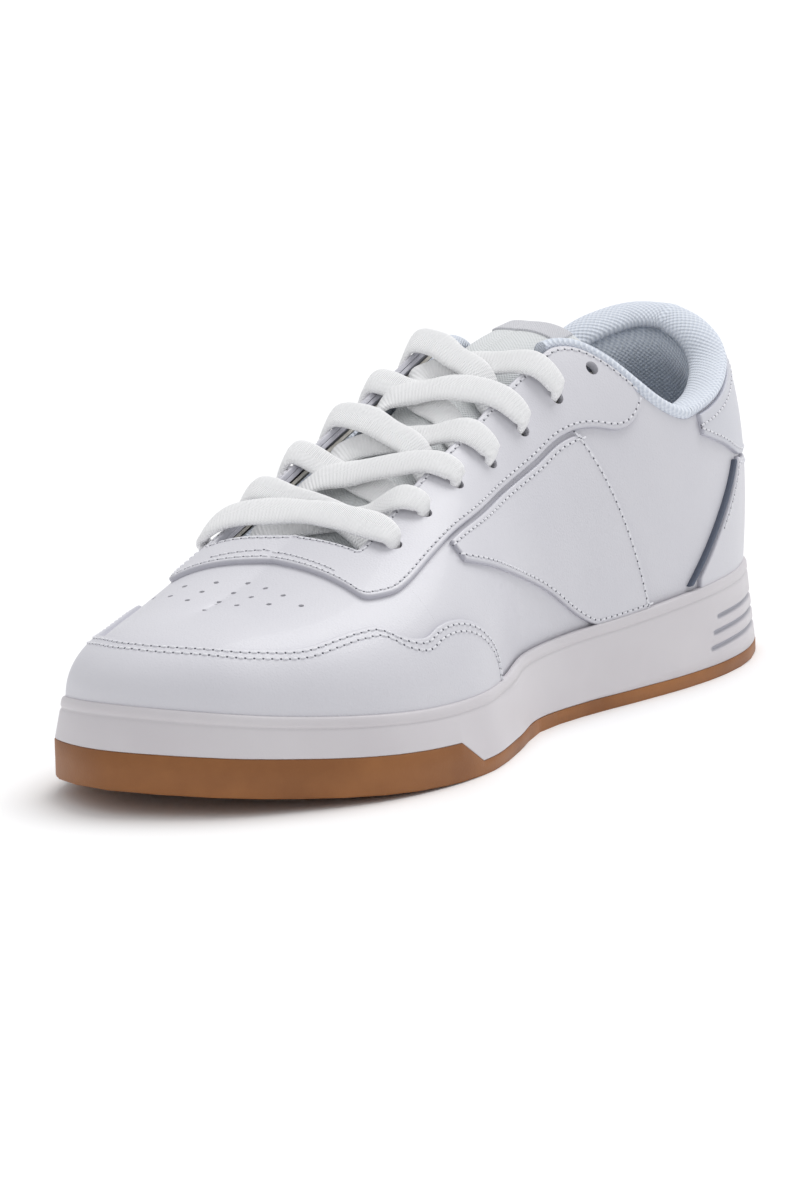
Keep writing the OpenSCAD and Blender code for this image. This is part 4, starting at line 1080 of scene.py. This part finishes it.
first_row, second_row, tab_row, bridge_gap = 1.7, 3.9, 3.2, 5.0
seams = [edge_line(mudguard_place, "top", first_row), edge_line(mudguard_place, "top", second_row),
         edge_line(eyestay_place, "low", first_row, count=700),
         edge_line(eyestay_place, "top", first_row, count=700),
         edge_line(eyestay_place, "low", bridge_gap, 0.44, 0.56, count=200),
         edge_line(heel_place, "top", first_row, 0.1, 0.9), edge_line(tab_place, "low", first_row),
         edge_line(tab_place, "top", tab_row)]
for sign in (1, -1):
    place = saddle_place(sign)
    seams += [edge_line(place, "low", first_row), edge_line(place, "top", first_row),
              edge_line(place, "first" if sign > 0 else "last", first_row, count=120)]
for name, shape, paint, slot_name in (("seam_thread", stitch_shape, thread, "white_cord"),
                                      ("needle_holes", hole_shape, needle_shade_paint, "white_cord")):
    stitched = instance_lines(name, seams, stitch_pitch, instancer(name + "_nodes", shape, paint))
    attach(stitched, "shoe")

# ---------------------------------------------------------------------------------------------
# Tongue. Pale cloth over foam with a knit back, its edge turned and closed all round, stitched in under the
# front of the throat. A plain woven label sits across its top; it carries no mark.
tongue_top_off, tongue_back_off = -7.9, -15.0


def tongue_place(a, b):
    t = mix(4.05, 9.9, a)
    left = v_at_ridge(t, throat_half(t) + 6)
    right = 2 - v_at_ridge(full_turn - t, throat_half(full_turn - t) + 6)
    return t, np.where(b < 0.5, mix(left, 1, 2 * b), mix(1, right, 2 * b - 1))


def tongue_core(a, b):
    return tongue_place(mix(0.05, 0.95, a), mix(0.08, 0.92, b))


tongue_cloth = knit("tongue_cloth", (0.78, 0.795, 0.8), (0.68, 0.7, 0.705), 1.2, 0.0002)
tongue = lay("tongue_cloth_cover", tongue_place, 170, 90, -11.4, tongue_top_off, tongue_cloth, rim=3.2)
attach(tongue, "tongue")
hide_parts("tongue_face")
tongue_back = lay("tongue_knit_back", tongue_place, 120, 60, tongue_back_off, -11.5, lining_knit, rim=0.6,
                  pillow=True)
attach(tongue_back, "tongue")
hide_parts("tongue_lining")
tongue_foam = lay("tongue_foam_pad", tongue_core, 50, 30, -13.6, -9.2, soft_foam, rim=1.0, pillow=True)
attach(tongue_foam, "tongue")
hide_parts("tongue_foam")
label_cloth = knit("label_cloth", (0.72, 0.72, 0.75), (0.62, 0.62, 0.66), 0.8, 0.0002)


def label_place(a, b):
    return mix(4.15, 4.5, a), mix(0.78, 1.22, b)


label = lay("tongue_label_cloth", label_place, 30, 60, tongue_top_off - 0.05, tongue_top_off + 0.6,
            label_cloth, rim=0.3)
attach(label, "tongue")
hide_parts("tongue_label")

# ---------------------------------------------------------------------------------------------
# Lace. One flat, full woven lace: a bar across the front pair of eyelets, then two runs that cross over the
# tongue and go into each eyelet from outside. Its ends are tucked behind the last laced pair.
lace_wide, lace_thick = 8.8, 2.2
lace_run, lace_over = -5.8, 3.9
laced_pairs = eyelet_count - 1
hole_wide, hole_thick = 3.6, 2.2
fold_wide, fold_thick = 6.8, 2.7
flat_lace, in_hole, in_fold = (lace_wide, lace_thick), (hole_wide, hole_thick), (fold_wide, fold_thick)


def over_throat(t, d, off):
    turned = on_side(t, 1 if d >= 0 else -1)
    return skin(turned, v_at_ridge(turned, abs(d)), off)


def half_at(t, s):
    return float(throat_half(on_side(t, s)))


def eyelet_distance(t, s):
    return s * (half_at(t, s) + eyelet_inset)


def crossing(k, s, levels):
    """Place, width and thickness at each stop of one run, from behind an eyelet to the next one across."""
    a, b = eyelet_station(k), eyelet_station(k + 1)
    near, far = half_at(a, s), half_at(b, -s)
    return [(over_throat(a, eyelet_distance(a, s), lace_run), *in_hole),
            (over_throat(mix(a, b, 0.12), s * (near - 1), lace_run), *flat_lace),
            (over_throat(mix(a, b, 0.33), s * near / 2, levels[0]), *flat_lace),
            (over_throat(mix(a, b, 0.5), 0, levels[1]), *flat_lace),
            (over_throat(mix(a, b, 0.67), -s * far / 2, levels[2]), *flat_lace),
            (over_throat(mix(a, b, 0.88), -s * (far + 0.5), lace_over), *flat_lace),
            (over_throat(b, eyelet_distance(b, -s) + s * 1.5, lace_over), *in_fold),
            (over_throat(b, eyelet_distance(b, -s), -1.3), *in_hole)]


def lace_half(s, levels):
    stops = []
    for k in range(laced_pairs - 1):
        stops += crossing(k, s if k % 2 == 0 else -s, levels)
    t = on_side(eyelet_station(laced_pairs - 1), -s if laced_pairs % 2 == 0 else s)
    v = float(v_at_ridge(t, throat_half(t) + eyelet_inset))
    tucked_end = (lace_wide / 2, lace_thick)
    return stops + [(skin(t, v, lace_run), *in_hole), (skin(t, v - 0.08, lace_run), *tucked_end),
                    (skin(t, v - 0.16, lace_run), *tucked_end)]


first = eyelet_station(0)
bar = []
for s in (-1, 1):
    d = eyelet_distance(first, s)
    part = [(over_throat(first, d, -1.3), *in_hole), (over_throat(first, d - s * 1.5, lace_over), *in_fold),
            (over_throat(first, d - s * 10, lace_over + 0.5), *flat_lace)]
    bar += part + [(over_throat(first, 0, lace_over), *flat_lace)] if s < 0 else part[::-1]
under_levels = (lace_run, lace_run + 0.3, lace_run + 1.6)
over_levels = (lace_run + 2.8, lace_run + 3.6, lace_run + 5.6)
lace_stops = lace_half(-1, under_levels)[::-1] + bar + lace_half(1, over_levels)
stops = np.array([[*p, w, h] for p, w, h in lace_stops])
gaps = np.linalg.norm(np.diff(stops[:, :3], axis=0), axis=-1) ** 0.5
knots = np.concatenate([[0], np.cumsum(gaps)])
slopes = np.zeros_like(stops)
slopes[1:-1] = (stops[2:] - stops[:-2]) / (knots[2:] - knots[:-2])[:, None]
path = []
for i in range(len(stops) - 1):
    span = knots[i + 1] - knots[i]
    count = max(4, int(np.linalg.norm(stops[i + 1, :3] - stops[i, :3]) / 0.8))
    f = (np.arange(count) / count)[:, None]
    path.append(hermite(stops[i], stops[i + 1], slopes[i], slopes[i + 1], span, f))
path = np.concatenate(path + [stops[-1:]])
reach = run_length(path[:, :3])
# Small uneven swelling of the weave along the lace.
path[:, 3] *= 1 + 0.05 * np.sin(reach / 7.0) + 0.03 * np.sin(reach / 2.9 + 1.0)
path[:, 4] *= 1 + 0.08 * np.sin(reach / 5.0 + 2.0)
ridge_way = unit(on_last(8, 1) - on_last(6, 1))
lace_lean = math.radians(14)
lace_along = unit(np.gradient(path[:, :3], axis=0))
flat_way = unit(ridge_way - lace_along * (lace_along @ ridge_way)[:, None])
face_way = np.cross(flat_way, lace_along)
face_way *= np.sign(face_way[:, 2:] + 1e-6)
flatness = np.clip((path[:, 3] - hole_wide) / (lace_wide - hole_wide), 0, 1)
lying = flatness[:, None] * lace_lean
lace_across = flat_way * np.cos(lying) - face_way * np.sin(lying)
lace_cord = knit("lace_cord", (0.97, 0.97, 0.972), (0.92, 0.92, 0.925), 1.1, 0.0002, 0.8, chevron=True)
lace = tube("woven_lace", path[:, :3], lace_across, path[:, 3] / 2, path[:, 4] / 2, 28, lace_cord, 3.2)
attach(lace, "shoe")
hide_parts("lace")

clear_tip = grainy("clear_tip", (0.9, 0.92, 0.93), 0.12, (0.9, 0.92, 0.93), (0.84, 0.86, 0.88),
                   (200, 2), "Wave", (0.2, 0.0002), Scale=160.0)
dress("aglet_lateral", clear_tip)
dress("aglet_medial", clear_tip)

# ---------------------------------------------------------------------------------------------
# Sockliner. A moulded foam footbed with a knit top, loose in the shoe.
sock_turn = np.linspace(0, full_turn, 337)[:-1]
sock_base = midsole_top(sock_turn) + 1.6
# Up the edge of the footbed: how far in from the sole's plan, and height above its underside.
sock_profile = ((11.6, 0.0), (11.25, 0.2), (11.2, 0.8), (11.2, 3.3), (11.35, 3.9), (11.8, 4.35), (12.6, 4.5),
                (14, 4.5), (16, 4.45))
sock_rings = [ring(sock_turn, inset, sock_base + rise) for inset, rise in sock_profile]
sock_points = np.concatenate(sock_rings)
sockliner = new_piece("sockliner_footbed", sock_points, ring_stack(sock_rings), lining_knit,
                      uv=sock_points[:, :2])
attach(sockliner, "sockliner")
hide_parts("sockliner")

for shape in (stitch_shape, hole_shape):
    bpy.data.objects.remove(shape)
